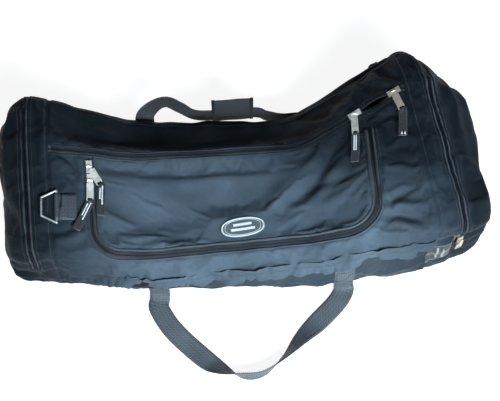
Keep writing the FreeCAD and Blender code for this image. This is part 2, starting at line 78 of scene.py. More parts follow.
def waves(p, length, seed, count=12):
    """Smooth random field over points, mostly between -1.5 and 1.5."""
    rng = np.random.default_rng(seed)
    total = 0
    for _ in range(count):
        d = rng.normal(size=p.shape[-1])
        d /= np.linalg.norm(d) * length * rng.uniform(0.7, 1.4) / (2 * math.pi)
        total = total + np.cos(p @ d + rng.uniform(0, 2 * math.pi))
    return total / math.sqrt(count)


def unit(v):
    return v / np.maximum(np.linalg.norm(v, axis=-1, keepdims=True), 1e-12)


SPREAD = np.linspace(-1, 1, 25)
SPREAD_WEIGHT = (1 - abs(SPREAD)) / (1 - abs(SPREAD)).sum()


def eased_line(xs, ys, x, reach=42.0):
    """Broken line through (xs, ys), its kinks rounded over reach."""
    x = np.asarray(x, float)[..., None] + SPREAD * reach
    return (np.interp(x, xs, ys) * SPREAD_WEIGHT).sum(-1)


def station(x, k):
    return eased_line(STATIONS[:, 0], STATIONS[:, k], x)


def wet_line(x):
    return eased_line(WET_ZIP[:, 0], WET_ZIP[:, 1], x)


def hem_line(x):
    return eased_line(HEM_LINE[:, 0], HEM_LINE[:, 1], x)


def plan_line(ends, x):
    (xa, ya), (xb, yb) = ends
    return ya + (yb - ya) * (np.asarray(x, float) - xa) / (xb - xa)


def catmull(knots, t):
    """Smooth curve through knots at parameters t, counted in knots."""
    knots = np.asarray(knots, float)
    t = np.clip(np.asarray(t, float), 0, len(knots) - 1 - 1e-9)
    i = t.astype(int)
    f = (t - i)[..., None]
    p0, p1 = knots[np.maximum(i - 1, 0)], knots[i]
    p2, p3 = knots[i + 1], knots[np.minimum(i + 2, len(knots) - 1)]
    return 0.5 * (2 * p1 + (p2 - p0) * f + (2 * p0 - 5 * p1 + 4 * p2 - p3) * f ** 2
                  + (3 * p1 - p0 - 3 * p2 + p3) * f ** 3)


# ==== materials =====================================================================
class Nodes:
    """Short-hand for building one material's node tree."""

    def __init__(self, name):
        self.material = bpy.data.materials.new(name)
        self.material.use_nodes = True
        self.tree = self.material.node_tree
        self.shader = self.tree.nodes["Principled BSDF"]

    def add(self, kind, **values):
        node = self.tree.nodes.new(kind)
        for key, value in values.items():
            if hasattr(node, key):
                setattr(node, key, value)
            else:
                node.inputs[key.replace("_", " ")].default_value = value
        return node

    def link(self, a, b):
        self.tree.links.new(a, b)

    def coords(self, scale=(1, 1, 1), uv=False, turn=0.0):
        source = self.add("ShaderNodeUVMap" if uv else "ShaderNodeTexCoord")
        mapping = self.add("ShaderNodeMapping")
        mapping.inputs["Scale"].default_value = scale
        mapping.inputs["Rotation"].default_value = (0, 0, turn)
        self.link(source.outputs["UV" if uv else "Object"], mapping.inputs["Vector"])
        return mapping.outputs["Vector"]

    def noise(self, scale, vector=None, detail=3.0, rough=0.5):
        node = self.add("ShaderNodeTexNoise", Scale=scale, Detail=detail, Roughness=rough)
        self.link(vector or self.coords(), node.inputs["Vector"])
        return node.outputs["Fac"]

    def wave(self, scale, vector, direction="X"):
        node = self.add("ShaderNodeTexWave", bands_direction=direction, wave_profile="SIN")
        node.inputs["Scale"].default_value = scale
        self.link(vector, node.inputs["Vector"])
        return node.outputs["Fac"]

    def maths(self, kind, a, b):
        node = self.add("ShaderNodeMath", operation=kind)
        for socket, value in zip(node.inputs, (a, b)):
            if isinstance(value, (int, float)):
                socket.default_value = value
            else:
                self.link(value, socket)
        return node.outputs[0]

    def ramp(self, fac, low, high, low_at=0.3, high_at=0.7):
        node = self.add("ShaderNodeValToRGB")
        node.color_ramp.elements[0].position = low_at
        node.color_ramp.elements[1].position = high_at
        node.color_ramp.elements[0].color = (*low, 1)
        node.color_ramp.elements[1].color = (*high, 1)
        self.link(fac, node.inputs["Fac"])
        return node.outputs["Color"]

    def span(self, fac, low, high, low_at=0.3, high_at=0.7):
        node = self.add("ShaderNodeMapRange")
        for key, value in (("From Min", low_at), ("From Max", high_at),
                           ("To Min", low), ("To Max", high)):
            node.inputs[key].default_value = value
        self.link(fac, node.inputs["Value"])
        return node.outputs["Result"]

    def bump(self, *layers):
        """layers are (height socket, distance in metres, strength)."""
        normal = None
        for height, distance, strength in layers:
            node = self.add("ShaderNodeBump", Strength=strength, Distance=distance)
            self.link(height, node.inputs["Height"])
            if normal:
                self.link(normal, node.inputs["Normal"])
            normal = node.outputs["Normal"]
        self.link(normal, self.shader.inputs["Normal"])

    def set(self, **values):
        for key, value in values.items():
            socket = self.shader.inputs[key.replace("_", " ")]
            if isinstance(value, bpy.types.NodeSocket):
                self.link(value, socket)
            else:
                socket.default_value = value
        return self.material


def painted_shade_mask(n):
    """Painted shade: 1 on the bag's ends and on its top towards the back, where the cloth's colour
    is darkened.
    """
    place = n.add("ShaderNodeSeparateXYZ")
    n.link(n.add("ShaderNodeTexCoord").outputs["Object"], place.inputs["Vector"])
    x, y = place.outputs["X"], place.outputs["Y"]
    slanted = n.maths("ADD", y, n.maths("MULTIPLY", x, 0.5))
    far = n.maths("MAXIMUM", n.span(y, 0, 1, 0.02, 0.11), n.span(slanted, 0, 1, -0.03, 0.12))
    ends = n.span(n.maths("ABSOLUTE", x, 0), 0, 1, 0.20, 0.39)
    return n.maths("MAXIMUM", far, ends)


def cloth_material(name, dark, light, rough, weave=1.0, pitch=0.9, crinkle=1.0, sheen=0.3,
                   tint=(0.62, 0.72, 0.85, 1), specular=0.5, shade_colour=None):
    """Plain-woven cloth: weave, soft crinkle, faint colour variation; given a shade colour,
    painted shade on the bag's ends and top towards the back.
    """
    n = Nodes(name)
    patches = n.noise(9.0, detail=4.0)
    fine = n.noise(160.0, detail=2.0)
    colour = n.ramp(n.maths("ADD", n.maths("MULTIPLY", patches, 0.75),
                            n.maths("MULTIPLY", fine, 0.25)), dark, light, 0.35, 0.65)
    # painted shade: colour mixed towards near-black, with less reflection, on the ends and the top
    # towards the back
    if shade_colour:
        shade_amount = painted_shade_mask(n)
        mixed = n.add("ShaderNodeMix", data_type="RGBA")
        n.link(shade_amount, mixed.inputs["Factor"])
        n.link(colour, mixed.inputs[6])
        mixed.inputs[7].default_value = (*shade_colour, 1)
        colour = mixed.outputs[2]
        specular = n.span(shade_amount, specular, specular * 0.35)
    per_turn = 1 / (pitch * MM) / 6.283
    uv = n.coords((per_turn, per_turn, 1), uv=True)
    weft, warp = n.wave(2.0, uv, "X"), n.wave(2.0, uv, "Y")
    cloth = n.maths("MAXIMUM", n.maths("MULTIPLY", weft, 0.9), warp)
    soft = n.noise(42.0, n.coords((1, 1.25, 1)), detail=3.0, rough=0.55)
    grain = n.noise(900.0, detail=2.0, rough=0.6)
    n.bump((soft, 0.0013 * crinkle, 0.5), (cloth, 0.0003 * weave, 0.8),
           (grain, 0.0002 * weave, 0.6))
    return n.set(Base_Color=colour, Roughness=n.span(patches, rough - 0.05, rough + 0.06),
                 Sheen_Weight=sheen, Sheen_Roughness=0.45, Sheen_Tint=tint,
                 Specular_IOR_Level=specular)


def webbing_material(name, dark, light, rough, sheen=0.35, rib=2.1):
    """Dense webbing: ribs across, a line of picks along, slightly hairy."""
    n = Nodes(name)
    uv = n.coords(uv=True)
    ribs, lines, chevron = (
        n.wave(1 / (spacing * MM) / 3.1416 * 0.5, vector, direction)
        for spacing, vector, direction in (
            (rib, uv, "X"), (3.2, uv, "Y"), (2.6, n.coords(uv=True, turn=math.pi / 4), "X")))
    cloth = n.maths("ADD", n.maths("MULTIPLY", ribs, 0.5),
                    n.maths("ADD", n.maths("MULTIPLY", lines, 0.3),
                            n.maths("MULTIPLY", chevron, 0.35)))
    hair = n.noise(500.0, detail=2.0)
    patches = n.noise(22.0, detail=3.0)
    tone = n.maths("ADD", n.maths("MULTIPLY", cloth, 0.45), n.maths("MULTIPLY", patches, 0.6))
    colour = n.ramp(tone, dark, light, 0.3, 0.95)
    n.bump((patches, 0.0012, 0.4), (cloth, 0.0005, 0.8), (hair, 0.00012, 0.5))
    return n.set(Base_Color=colour, Roughness=n.span(hair, rough - 0.08, rough + 0.1),
                 Sheen_Weight=sheen, Sheen_Roughness=0.5, Sheen_Tint=(0.75, 0.84, 0.92, 1),
                 Specular_IOR_Level=0.4)


def metal_material(name, colour, rough):
    n = Nodes(name)
    worn = n.noise(240.0, detail=5.0, rough=0.65)
    dull = n.noise(60.0, detail=2.0)
    n.bump((worn, 0.00012, 0.35))
    return n.set(Base_Color=n.ramp(dull, tuple(c * 0.72 for c in colour), colour, 0.35, 0.6),
                 Metallic=0.85, Roughness=n.span(worn, rough - 0.1, rough + 0.16))


# near-black colour of the painted shade on the bag's ends and on its top towards the back
PAINTED_SHADE_COLOUR = (0.003, 0.006, 0.009)
NYLON = cloth_material("nylon", (0.032, 0.050, 0.069), (0.052, 0.077, 0.104), 0.58,
                       sheen=0.03, tint=(0.55, 0.72, 1.0, 1), specular=0.24, shade_colour=PAINTED_SHADE_COLOUR)
# painted shade: a darker copy of the nylon for the lower front panel under the hem's overhang, and
# the base
SHADED_NYLON = cloth_material("nylon_painted_shade", (0.015, 0.024, 0.033), (0.026, 0.039, 0.053), 0.58,
                           sheen=0.03, tint=(0.55, 0.72, 1.0, 1), specular=0.16, shade_colour=PAINTED_SHADE_COLOUR)
LINING = cloth_material("lining", (0.02, 0.022, 0.026), (0.032, 0.035, 0.04), 0.6, pitch=1.3,
                        sheen=0.1, crinkle=1.6)
TAPE = cloth_material("zip_tape", (0.012, 0.015, 0.020), (0.020, 0.025, 0.033), 0.62,
                      pitch=0.7, crinkle=0.2, sheen=0.15)
COIL = cloth_material("zip_coil", (0.022, 0.028, 0.037), (0.034, 0.043, 0.056), 0.4,
                      weave=0.2, crinkle=0.1, sheen=0.0, specular=0.6, shade_colour=PAINTED_SHADE_COLOUR)
PIPING = cloth_material("piping", (0.020, 0.026, 0.036), (0.032, 0.041, 0.055), 0.45,
                        pitch=0.8, crinkle=0.3, sheen=0.1, shade_colour=PAINTED_SHADE_COLOUR)
WEBBING = webbing_material("webbing", (0.030, 0.038, 0.046), (0.078, 0.098, 0.113), 0.65,
                           sheen=0.06)
RING_WEB = webbing_material("webbing_ring", (0.016, 0.021, 0.028), (0.036, 0.047, 0.062), 0.6,
                            sheen=0.06)
# painted shade: a darker copy of the webbing for the back handle, which is the same webbing lying
# in the bag's shade
SHADED_WEBBING = webbing_material("webbing_painted_shade", (0.008, 0.010, 0.012), (0.022, 0.026, 0.030), 0.6,
                                sheen=0.05)
# painted shadow: near-black cloth laid under the hem fold, where its shadow falls
SHADOW_STRIP = cloth_material("hem_painted_shadow", (0.003, 0.004, 0.005), (0.006, 0.008, 0.010), 0.7,
                         pitch=0.7, crinkle=0.2, sheen=0.0, specular=0.2)
GRIP = cloth_material("grip_cloth", (0.005, 0.0055, 0.0065), (0.010, 0.011, 0.013), 0.68,
                      pitch=1.6, crinkle=0.8, sheen=0.15)
TAB = webbing_material("tab_webbing", (0.007, 0.008, 0.010), (0.016, 0.018, 0.022), 0.5, 0.2, 1.3)
THREAD = cloth_material("thread", (0.012, 0.014, 0.018), (0.03, 0.034, 0.04), 0.5, pitch=0.5,
                        crinkle=0.1, sheen=0.2)
BADGE = cloth_material("badge_field", (0.045, 0.058, 0.075), (0.07, 0.088, 0.11), 0.55,
                       pitch=0.8, crinkle=0.15)
MARK = webbing_material("woven_mark", (0.42, 0.47, 0.50), (0.62, 0.67, 0.69), 0.6, 0.1, 0.9)
# painted shade: the light mark colour dimmed, for the label on the shaded lower front
SHADED_MARK = webbing_material("mark_painted_shade", (0.13, 0.15, 0.16), (0.21, 0.23, 0.24), 0.65, 0.05, 0.9)
ZIP_METAL = metal_material("zip_metal", (0.86, 0.89, 0.86), 0.44)
DARK_METAL = metal_material("zip_metal_dark", (0.56, 0.50, 0.44), 0.44)
RING_METAL = metal_material("ring_metal", (0.50, 0.55, 0.58), 0.30)


# ==== meshes ========================================================================
def make(name, verts, faces, materials, uv=None, face_material=None, smooth=True):
    """Mesh object from millimetre vertices; uv is in metres per vertex."""
    mesh = bpy.data.meshes.new(name)
    mesh.from_pydata((np.asarray(verts, float) * MM).tolist(), [],
                     [list(map(int, f)) for f in faces])
    for material in materials if isinstance(materials, (list, tuple)) else [materials]:
        mesh.materials.append(material)
    if face_material is not None:
        mesh.polygons.foreach_set("material_index", np.asarray(face_material, np.int32))
    mesh.polygons.foreach_set("use_smooth", np.full(len(mesh.polygons), smooth))
    loops = np.zeros(len(mesh.loops), np.int32)
    mesh.loops.foreach_get("vertex_index", loops)
    layer = mesh.uv_layers.new(name="UVMap")
    flat = np.asarray(uv, float) if uv is not None else np.asarray(verts, float)[:, :2] * MM
    layer.data.foreach_set("uv", flat[loops].astype(np.float32).ravel())
    mesh.update()
    obj = bpy.data.objects.new(name, mesh)
    bpy.context.scene.collection.objects.link(obj)
    return obj


def ring_quads(index):
    """Faces of a grid of point numbers whose rows close on themselves."""
    turned = np.roll(index, -1, 1)
    return np.stack([index[:-1], turned[:-1], turned[1:], index[1:]], -1).reshape(-1, 4)


def sheet_faces(rows, cols):
    """Faces of an open grid, and the loop of points round its border."""
    index = np.arange(rows * cols).reshape(rows, cols)
    quads = np.stack([index[:-1, :-1], index[1:, :-1], index[1:, 1:], index[:-1, 1:]], -1)
    loop = np.concatenate([index[0], index[1:, -1], index[-1, -2::-1], index[-2:0:-1, 0]])
    return quads.reshape(-1, 4), loop


def lengths(points):
    """Distance along a path at each of its points."""
    return np.concatenate([[0], np.cumsum(np.linalg.norm(np.diff(points, axis=0), axis=1))])


def settle(obj, body, slot, *nodes):
    """Ride one body; with a pair of bodies, only fix the piece where it stands, unbent. The slot
    is not used. Hide the CAD nodes it stands for.
    """
    if isinstance(body, str):
        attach(obj, body)
    else:
        a, b, start, end = body
        [c * MM for c in start]
        [c * MM for c in end]
        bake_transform(obj)
    if nodes:
        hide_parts(*nodes)
    return obj


class Skin:
    """A piece of the bag's outside: where it is, where it was before folding, its normals."""

    def __init__(self, pos, ref, nor, uv, quads, extra=()):
        self.pos, self.ref, self.nor, self.uv = pos, ref, nor, uv
        self.quads, self.extra = quads, list(extra)

    def cut(self, field, side):
        """The part where field(ref) * side is above 0, its border exactly on the line."""
        value = field(self.ref) * side
        value = np.where(abs(value) < 0.3, 0.0, value)
        inside = value >= 0
        count = inside[self.quads].sum(1)
        full = self.quads[count == 4]
        mixed = [list(q) for q in self.quads[(count > 0) & (count < 4)]]
        extra = []
        for polygon in self.extra:
            kept = inside[polygon].sum()
            if kept == len(polygon):
                extra.append(polygon)
            elif kept:
                mixed.append(list(polygon))
        full = full[(value[full] > 0).any(1)] if len(full) else full
        made, new = {}, []
        for polygon in mixed:
            out = []
            for a, b in zip(polygon, polygon[1:] + polygon[:1]):
                if value[a] >= 0:
                    out.append(int(a))
                if value[a] * value[b] < 0:
                    key = (min(a, b), max(a, b))
                    if key not in made:
                        made[key] = len(self.pos) + len(new)
                        new.append((key[0], key[1],
                                    value[key[0]] / (value[key[0]] - value[key[1]])))
                    out.append(made[key])
            if len(out) > 2 and any(i >= len(self.pos) or value[i] > 0 for i in out):
                extra.append(out)
        arrays = [self.pos, self.ref, self.nor, self.uv]
        if new:
            a, b = (np.array([n[k] for n in new]) for k in (0, 1))
            t = np.array([n[2] for n in new])[:, None]
            arrays = [np.vstack([m, m[a] * (1 - t) + m[b] * t]) for m in arrays]
        used = np.zeros(len(arrays[0]), bool)
        used[full.ravel()] = True
        for polygon in extra:
            used[polygon] = True
        index = np.cumsum(used) - 1
        return Skin(*[m[used] for m in arrays], index[full], [index[p].tolist() for p in extra])

    def solid(self, name, outside, inside, thick, lift=0.0):
        """Cloth of that thickness, its outer face lifted off the skin, its inside lined."""
        nor = unit(self.nor)
        top = self.pos + nor * lift
        count = len(top)
        faces = [q.tolist() for q in self.quads] + self.extra
        edges = {}
        for f in faces:
            for a, b in zip(f, f[1:] + f[:1]):
                if (b, a) in edges:
                    del edges[b, a]
                else:
                    edges[a, b] = True
        rim = [[b, a, a + count, b + count] for a, b in edges]
        under = [[i + count for i in reversed(f)] for f in faces]
        kinds = [0] * len(faces) + [1] * len(under) + [0] * len(rim)
        return make(name, np.vstack([top, top - nor * thick]), faces + under + rim,
                    [outside, inside], np.vstack([self.uv, self.uv]), kinds)


# ==== the bag's outside as one grid =================================================
# points round one section: half the base, corner, back, corner, top, corner, front, corner, base
BASE_COUNT, WALL_COUNT, TOP_COUNT = 16, 34, 96
CORNER_COUNTS = (10, 10, 26, 18)
ROUND_COUNT = 2 * (BASE_COUNT + WALL_COUNT) + TOP_COUNT + sum(CORNER_COUNTS)
MID_TOP = 130                   # number of the point in the middle of the top


def outline(front, back, z_front, z_back, inset, foot, radii):
    """One cross-section, from the middle of the base up the back, as (y, z) points."""
    corners = np.array([[front, 0], [back, 0], [back, z_back], [front, z_front]], float)
    sides, moved, arcs = [], [], []
    for i in range(4):
        run = unit(corners[(i + 1) % 4] - corners[i])
        sides.append((corners[i] + np.array([-run[1], run[0]]) * (inset if i else foot), run))
    for i in range(4):
        (p, u), (q, v) = sides[i - 1], sides[i]
        gap = q - p
        moved.append(p + u * (gap[0] * v[1] - gap[1] * v[0]) / (u[0] * v[1] - u[1] * v[0]))
    for i in range(4):
        here = moved[i]
        back_way, on_way = unit(moved[i - 1] - here), unit(moved[(i + 1) % 4] - here)
        half = math.acos(float(back_way @ on_way)) / 2
        centre = here + unit(back_way + on_way) * (radii[i] / math.sin(half))
        start = here + back_way * (radii[i] / math.tan(half)) - centre
        angle = math.atan2(start[1], start[0]) + np.linspace(0, math.pi - 2 * half,
                                                             CORNER_COUNTS[i] + 1)
        arcs.append(centre + radii[i] * np.stack([np.cos(angle), np.sin(angle)], 1))
    middle = (arcs[0][-1] + arcs[1][0]) / 2

    def run(a, b, n):
        return a + (b - a) * np.linspace(0, 1, n, endpoint=False)[:, None]

    return np.vstack([run(middle, arcs[1][0], BASE_COUNT), arcs[1][:-1],
                      run(arcs[1][-1], arcs[2][0], WALL_COUNT), arcs[2][:-1],
                      run(arcs[2][-1], arcs[3][0], TOP_COUNT), arcs[3][:-1],
                      run(arcs[3][-1], arcs[0][0], WALL_COUNT), arcs[0][:-1],
                      run(arcs[0][-1], middle, BASE_COUNT)])


def section(x, end, inset, foot, radii):
    """The bag's section of station end, as a ring of points at x."""
    sizes = [float(station(end, k)) for k in (1, 2, 3, 4)]
    return np.column_stack([np.full(ROUND_COUNT, x), outline(*sizes, inset, foot, radii)])


def base_grid():
    """Rings of points from the left end's middle to the right end's middle."""
    def dome(knots, end, steps):
        made = []
        for t in np.linspace(0, 3, steps):
            x, inset, foot = catmull(knots, t)
            share = float(step(1.4, 3, t))
            radii = CORNER_RADII + (CAP_RADII - CORNER_RADII) * share
            made.append(section(x, end, max(inset, 0), max(foot, 0), radii))
        last = made[-1]
        centre = last.mean(0)
        way = -1 if end < 0 else 1
        for k in (0.93, 0.82, 0.66, 0.48, 0.3, 0.13, 0.03):
            ring = centre + (last - centre) * k
            ring[:, 0] = last[0, 0] + way * 3.0 * (1 - k * k)
            made.append(ring)
        return made

    left_end, right_end = STATIONS[0, 0], STATIONS[-1, 0]
    left, right = dome(LEFT_DOME, left_end, 20), dome(RIGHT_DOME, right_end, 18)
    middle = [section(x, x, 0, 0, CORNER_RADII) for x in np.linspace(left_end, right_end, 262)]
    return np.array(left[:0:-1] + middle + right[1:])


def grid_normals(p):
    along = np.gradient(p, axis=0)
    around = (np.roll(p, -1, 1) - np.roll(p, 1, 1)) / 2
    return unit(np.cross(around, along))


# ==== fields that the seams and zips follow =========================================
def lid_distance(p):
    """Signed plan distance to the lid's zip line, positive outside."""
    q = p[:, :2]
    worst = np.full(len(q), -1e9)
    runs = [unit(LID_CORNERS[(i + 1) % 4] - LID_CORNERS[i]) for i in range(4)]
    for i, run in enumerate(runs):
        if i != 2:
            d = (q - LID_CORNERS[i]) @ np.array([run[1], -run[0]])
            worst = np.maximum(worst, d)
    for i in (0, 1):
        before, on = runs[i - 1], runs[i]
        half = math.acos(float(-before @ on)) / 2
        centre = LID_CORNERS[i] + unit(on - before) * LID_RADII[i] / math.sin(half)
        away = q - centre
        wedge = (away @ before > 0) & (away @ -on > 0)
        worst = np.where(wedge, np.linalg.norm(away, axis=1) - LID_RADII[i], worst)
    return worst


def wet_mouth(x):
    """How far each of the far zip's two rows is drawn aside, between its two sliders."""
    return 5.0 * np.sin(np.pi * np.clip((np.asarray(x, float) - 222) / 52, 0, 1)) ** 1.2


F_LEFT_ZIP = lambda p: p[:, 0] - LEFT_ZIP_X
F_LEFT_SEAM = lambda p: p[:, 0] - LEFT_SEAM_X
F_RIGHT_SEAM = lambda p: p[:, 0] - RIGHT_SEAM_X - END_SLANT * p[:, 1]
F_RIGHT_ZIP = lambda p: p[:, 0] - RIGHT_ZIP_X - END_SLANT * p[:, 1]
F_HEM = lambda p: np.where(p[:, 1] < -20, p[:, 2] - hem_line(p[:, 0]), 60.0)
F_WET = lambda p: p[:, 1] - wet_line(p[:, 0])
F_BACK = lambda p: p[:, 1] - station(p[:, 0], 2) + BACK_SEAM
F_LEGS = lambda p: p[:, 1] - plan_line(LID_LEG_ENDS, p[:, 0])
F_LID = lid_distance


def shifted(field, by):
    return lambda p: field(p) - by


def height(z):
    return lambda p: p[:, 2] - z


def wet_side(way, off, mouth=0.6):
    """A line beside the far zip, towards the back (way 1) or the front (way -1)."""
    return lambda p: F_WET(p) - way * (off + mouth * wet_mouth(p[:, 0]))


# ==== folds in the cloth ============================================================
def line_distance(q, points):
    """Distance to a broken line, and how far along it (0 to 1) the nearest point is."""
    points = np.array(points, float)
    spans = np.linalg.norm(np.diff(points, axis=0), axis=1)
    before = np.concatenate([[0], np.cumsum(spans)])
    best, share = np.full(len(q), 1e9), np.zeros(len(q))
    for a, b, s, at in zip(points, points[1:], spans, before):
        t = np.clip(((q - a) @ (b - a)) / s ** 2, 0, 1)
        d = np.linalg.norm(q - a - t[:, None] * (b - a), axis=1)
        share = np.where(d < best, (at + t * s) / before[-1], share)
        best = np.minimum(best, d)
    return best, share


# each fold: height (down if negative), half width, points in plan
TOP_FOLDS = [
    (4.5, 22, [(-260, 25), (-185, 5), (-110, -40), (-55, -115)]),
    (-3.5, 20, [(-275, -15), (-240, -35), (-205, -50), (-140, -70)]),
    (3.0, 16, [(-260, -105), (-210, -95), (-135, -105), (-75, -125)]),
    (-7.0, 11, [(-275, 45), (-200, 40), (-105, 30), (20, 25), (110, 25)]),
    (3.5, 26, [(-230, 10), (-90, 0), (60, 5)]),
    (-6.5, 13, [(25, -105), (70, -65), (120, -30), (165, 20), (195, 60)]),
    (5.5, 18, [(0, -95), (50, -50), (95, -10), (140, 30)]),
    (4.0, 15, [(70, -110), (110, -65), (160, -10), (205, 40)]),
    (-3.5, 9, [(90, -75), (120, -40), (160, -35), (185, -40)]),
    (3.0, 12, [(100, -95), (150, -70), (195, -65)]),
    (-4.0, 8, [(230, 40), (240, -10), (235, -60), (215, -115)]),
    (-4.5, 7, [(235, -110), (265, -100), (285, -95)]),
    (-5.0, 7, [(230, -135), (255, -135), (295, -160)]),
    (4.5, 9, [(240, -120), (265, -120), (290, -130)]),
    (-4.0, 8, [(250, -20), (275, -15), (300, -20)]),
    (3.5, 10, [(250, -45), (275, -50), (300, -70)]),
    (-4.0, 7, [(250, 45), (270, 50), (290, 40)]),
    (-4.0, 7, [(-345, 75), (-320, 50), (-305, 35)]),
    (-4.5, 7, [(-340, 45), (-320, 10), (-310, -15)]),
    (4.0, 8, [(-350, 60), (-330, 30), (-320, 5)]),
    (-4.5, 7, [(-350, -25), (-320, -5), (-300, 0)]),
    (-4.5, 8, [(-375, -80), (-340, -80), (-310, -60)]),
    (4.0, 9, [(-350, -95), (-325, -95), (-305, -80)]),
    (-4.0, 8, [(-350, -140), (-315, -130), (-270, -135)]),
    (-3.5, 12, [(-330, 120), (-280, 120), (-225, 110), (-180, 120)]),
    (3.5, 14, [(-340, 95), (-285, 100), (-230, 90)]),
    (-4.0, 14, [(-130, 85), (-70, 100), (-20, 90), (40, 110)]),
    (3.0, 14, [(-100, 110), (-40, 120), (30, 115)]),
    (-5.0, 12, [(120, 80), (165, 105), (200, 145)]),
    (4.5, 14, [(150, 70), (205, 105), (240, 160)]),
    (-6.0, 9, [(270, 170), (285, 130), (300, 105)]),
    (5.0, 10, [(250, 160), (265, 130), (285, 100)]),
    (-4.0, 9, [(320, 170), (330, 120), (340, 70)]),
    (3.5, 9, [(320, 30), (330, -40), (335, -110)]),
    (-3.5, 8, [(310, -20), (320, -70), (345, -120)]),
    (-3.5, 9, [(-385, 150), (-380, 60), (-370, -40)]),
    (3.0, 8, [(-370, 120), (-375, 40), (-370, -30)]),
    (-4.0, 9, [(370, 130), (385, 60), (390, -10)]),
    (4.0, 10, [(390, 110), (400, 30), (405, -60)]),
    (-3.5, 9, [(-425, 120), (-430, 30), (-430, -60)]),
]
FRONT_FOLDS = [        # in x and z
    (-4.0, 8, [(-345, 96), (-310, 84), (-262, 88)]),
    (3.5, 7, [(-330, 72), (-285, 68), (-240, 76)]),
    (-3.5, 7, [(-352, 60), (-318, 54), (-282, 60)]),
    (3.0, 9, [(-220, 38), (-120, 46), (-30, 56)]),
    (-3.0, 9, [(-180, 26), (-60, 34), (40, 50)]),
    (-3.5, 9, [(60, 60), (140, 70), (220, 84)]),
    (3.0, 9, [(40, 40), (130, 46), (230, 58)]),
    (-4.0, 10, [(196, 62), (260, 84), (306, 110)]),
    (3.5, 10, [(210, 40), (270, 52), (340, 60)]),
    (-3.5, 9, [(296, 40), (330, 44), (386, 60)]),
    (-4.0, 8, [(262, 150), (288, 158), (306, 174)]),
    (-3.5, 8, [(318, 140), (346, 132), (380, 136)]),
]


# where sewn-on parts and sliders lie, in plan: from, to, reach kept flat, reach held in place
SEWN_ON = [((165, 61), (290, 92), 17, 16), ((-291, -65), (-291, 50), 12, 14),
           ((-352, -60), (-316, -12), 16, 20), ((-62, -102), (22, -102), 24, 20)]


def folded(p, n):
    """The grid with its big, named folds, its bellies and its gathered seams."""
    flat_p, flat_n = p.reshape(-1, 3), n.reshape(-1, 3)
    x, y, z = flat_p.T
    top, front = step(0.5, 0.9, flat_n[:, 2]), step(0.55, 0.9, -flat_n[:, 1])
    back, ends = step(0.55, 0.9, flat_n[:, 1]), step(0.5, 0.9, abs(flat_n[:, 0]))
    off_floor = step(2, 24, z)
    body = step(-470, -420, x) * step(450, 400, x)
    out = np.zeros(len(x))
    for fold_height, width, points in TOP_FOLDS:
        d, share = line_distance(flat_p[:, :2], points)
        taper = np.sin(np.pi * np.clip(share, 0.04, 0.96)) ** 0.6
        shape = np.exp(-(d / width) ** 2) - 0.28 * np.exp(-((d - 1.7 * width) / width) ** 2)
        out += fold_height * shape * taper * top
    for fold_height, width, points in FRONT_FOLDS:
        d, share = line_distance(flat_p[:, [0, 2]], points)
        taper = np.sin(np.pi * np.clip(share, 0.04, 0.96)) ** 0.6
        out += fold_height * np.exp(-(d / width) ** 2) * taper * front
    # slack between the seams, and small gathers that die away from each seam
    seam = np.minimum.reduce([abs(F_LEFT_SEAM(flat_p)), abs(F_RIGHT_SEAM(flat_p)),
                              abs(F_LEFT_ZIP(flat_p)) + 4, abs(F_RIGHT_ZIP(flat_p)) + 4])
    out += waves(flat_p[:, [1, 2]], 26, 3) * np.exp(-seam / 16) * 1.5 * off_floor
    for field, depth, width in ((F_LEFT_SEAM, 2.6, 3.2), (F_RIGHT_SEAM, 2.6, 3.2),
                                (F_LEFT_ZIP, 1.6, 7.0), (F_RIGHT_ZIP, 1.6, 7.0)):
        out -= depth * np.exp(-(field(flat_p) / width) ** 2) * off_floor
    lid = F_LID(flat_p)
    ahead = step(4, -8, F_LEGS(flat_p))
    out += top * ahead * 2.2 * np.exp(-((lid - 14) / 7) ** 2)
    out += top * ahead * 2.0 * np.exp(-((lid + 17) / 8) ** 2)
    hem = F_HEM(flat_p)
    under = np.clip((z - 30) / np.maximum(hem_line(x) - 30, 1), 0, 1)
    out -= np.where(hem < 0, 9.5 * under ** 1.6, 0) * front
    out += np.where(hem > 0, 4.5, 0) * np.exp(-((hem - 9) / 16) ** 2) * front
    out += 3.0 * waves(np.stack([x / 2.6, z], 1), 30, 9) * front * np.where(hem > 0, 0.7, 0.12)
    out += 3.0 * np.exp(-((z - 60) / 40) ** 2) * back
    out += waves(flat_p, 70, 11) * 1.7 * off_floor * (0.4 + 0.6 * (1 - ends))
    out += waves(flat_p, 34, 12) * 0.45 * off_floor
    # hold still where sliders run, and close to the floor
    quiet = np.ones(len(x))
    for a, b, reach, _ in SEWN_ON:
        d, _ = line_distance(flat_p[:, :2], [a, b])
        quiet = np.minimum(quiet, np.where(top > 0.2, step(reach * 0.35, reach * 1.7, d), 1))
    out *= quiet * off_floor
    moved = flat_p + flat_n * np.clip(out, -9, 8)[:, None]
    # behind the far zip the top falls away towards the back
    share = np.clip((y - wet_line(x) - 6) / (station(x, 2) - wet_line(x) - 6), 0, 1)
    high = step(0.3, 0.62, z / np.maximum(station(x, 4), 1))
    drop = (11 + 17 * step(200, 20, x) * step(-400, -300, x)) * np.sin(
        np.pi / 2 * np.clip(share * 1.5, 0, 1)) ** 1.3 * high
    moved[:, 2] -= drop * body
    pushed = 0.5 * drop + 3 + 3 * step(-150, -240, x)
    moved[:, 1] += pushed * step(0.45, 0.95, share) * high * body
    # the right end's back corner is slack, and its middle stands out
    right_end = step(396, 432, x) * step(25, 60, z)
    moved[:, 0] += right_end * (9 * bump(y, 15, 55) - 15 * step(55, 150, y))
    moved[:, 0] += step(-425, -455, x) * step(25, 60, z) * 9 * step(90, 170, y)
    moved[:, 2] = np.where(z < 3, z, np.maximum(moved[:, 2], 0.6))
    return moved.reshape(p.shape)


SLACK_FRAMES, SLACK_REACH = 22, 11.0            # how long the cloth moves, and how far


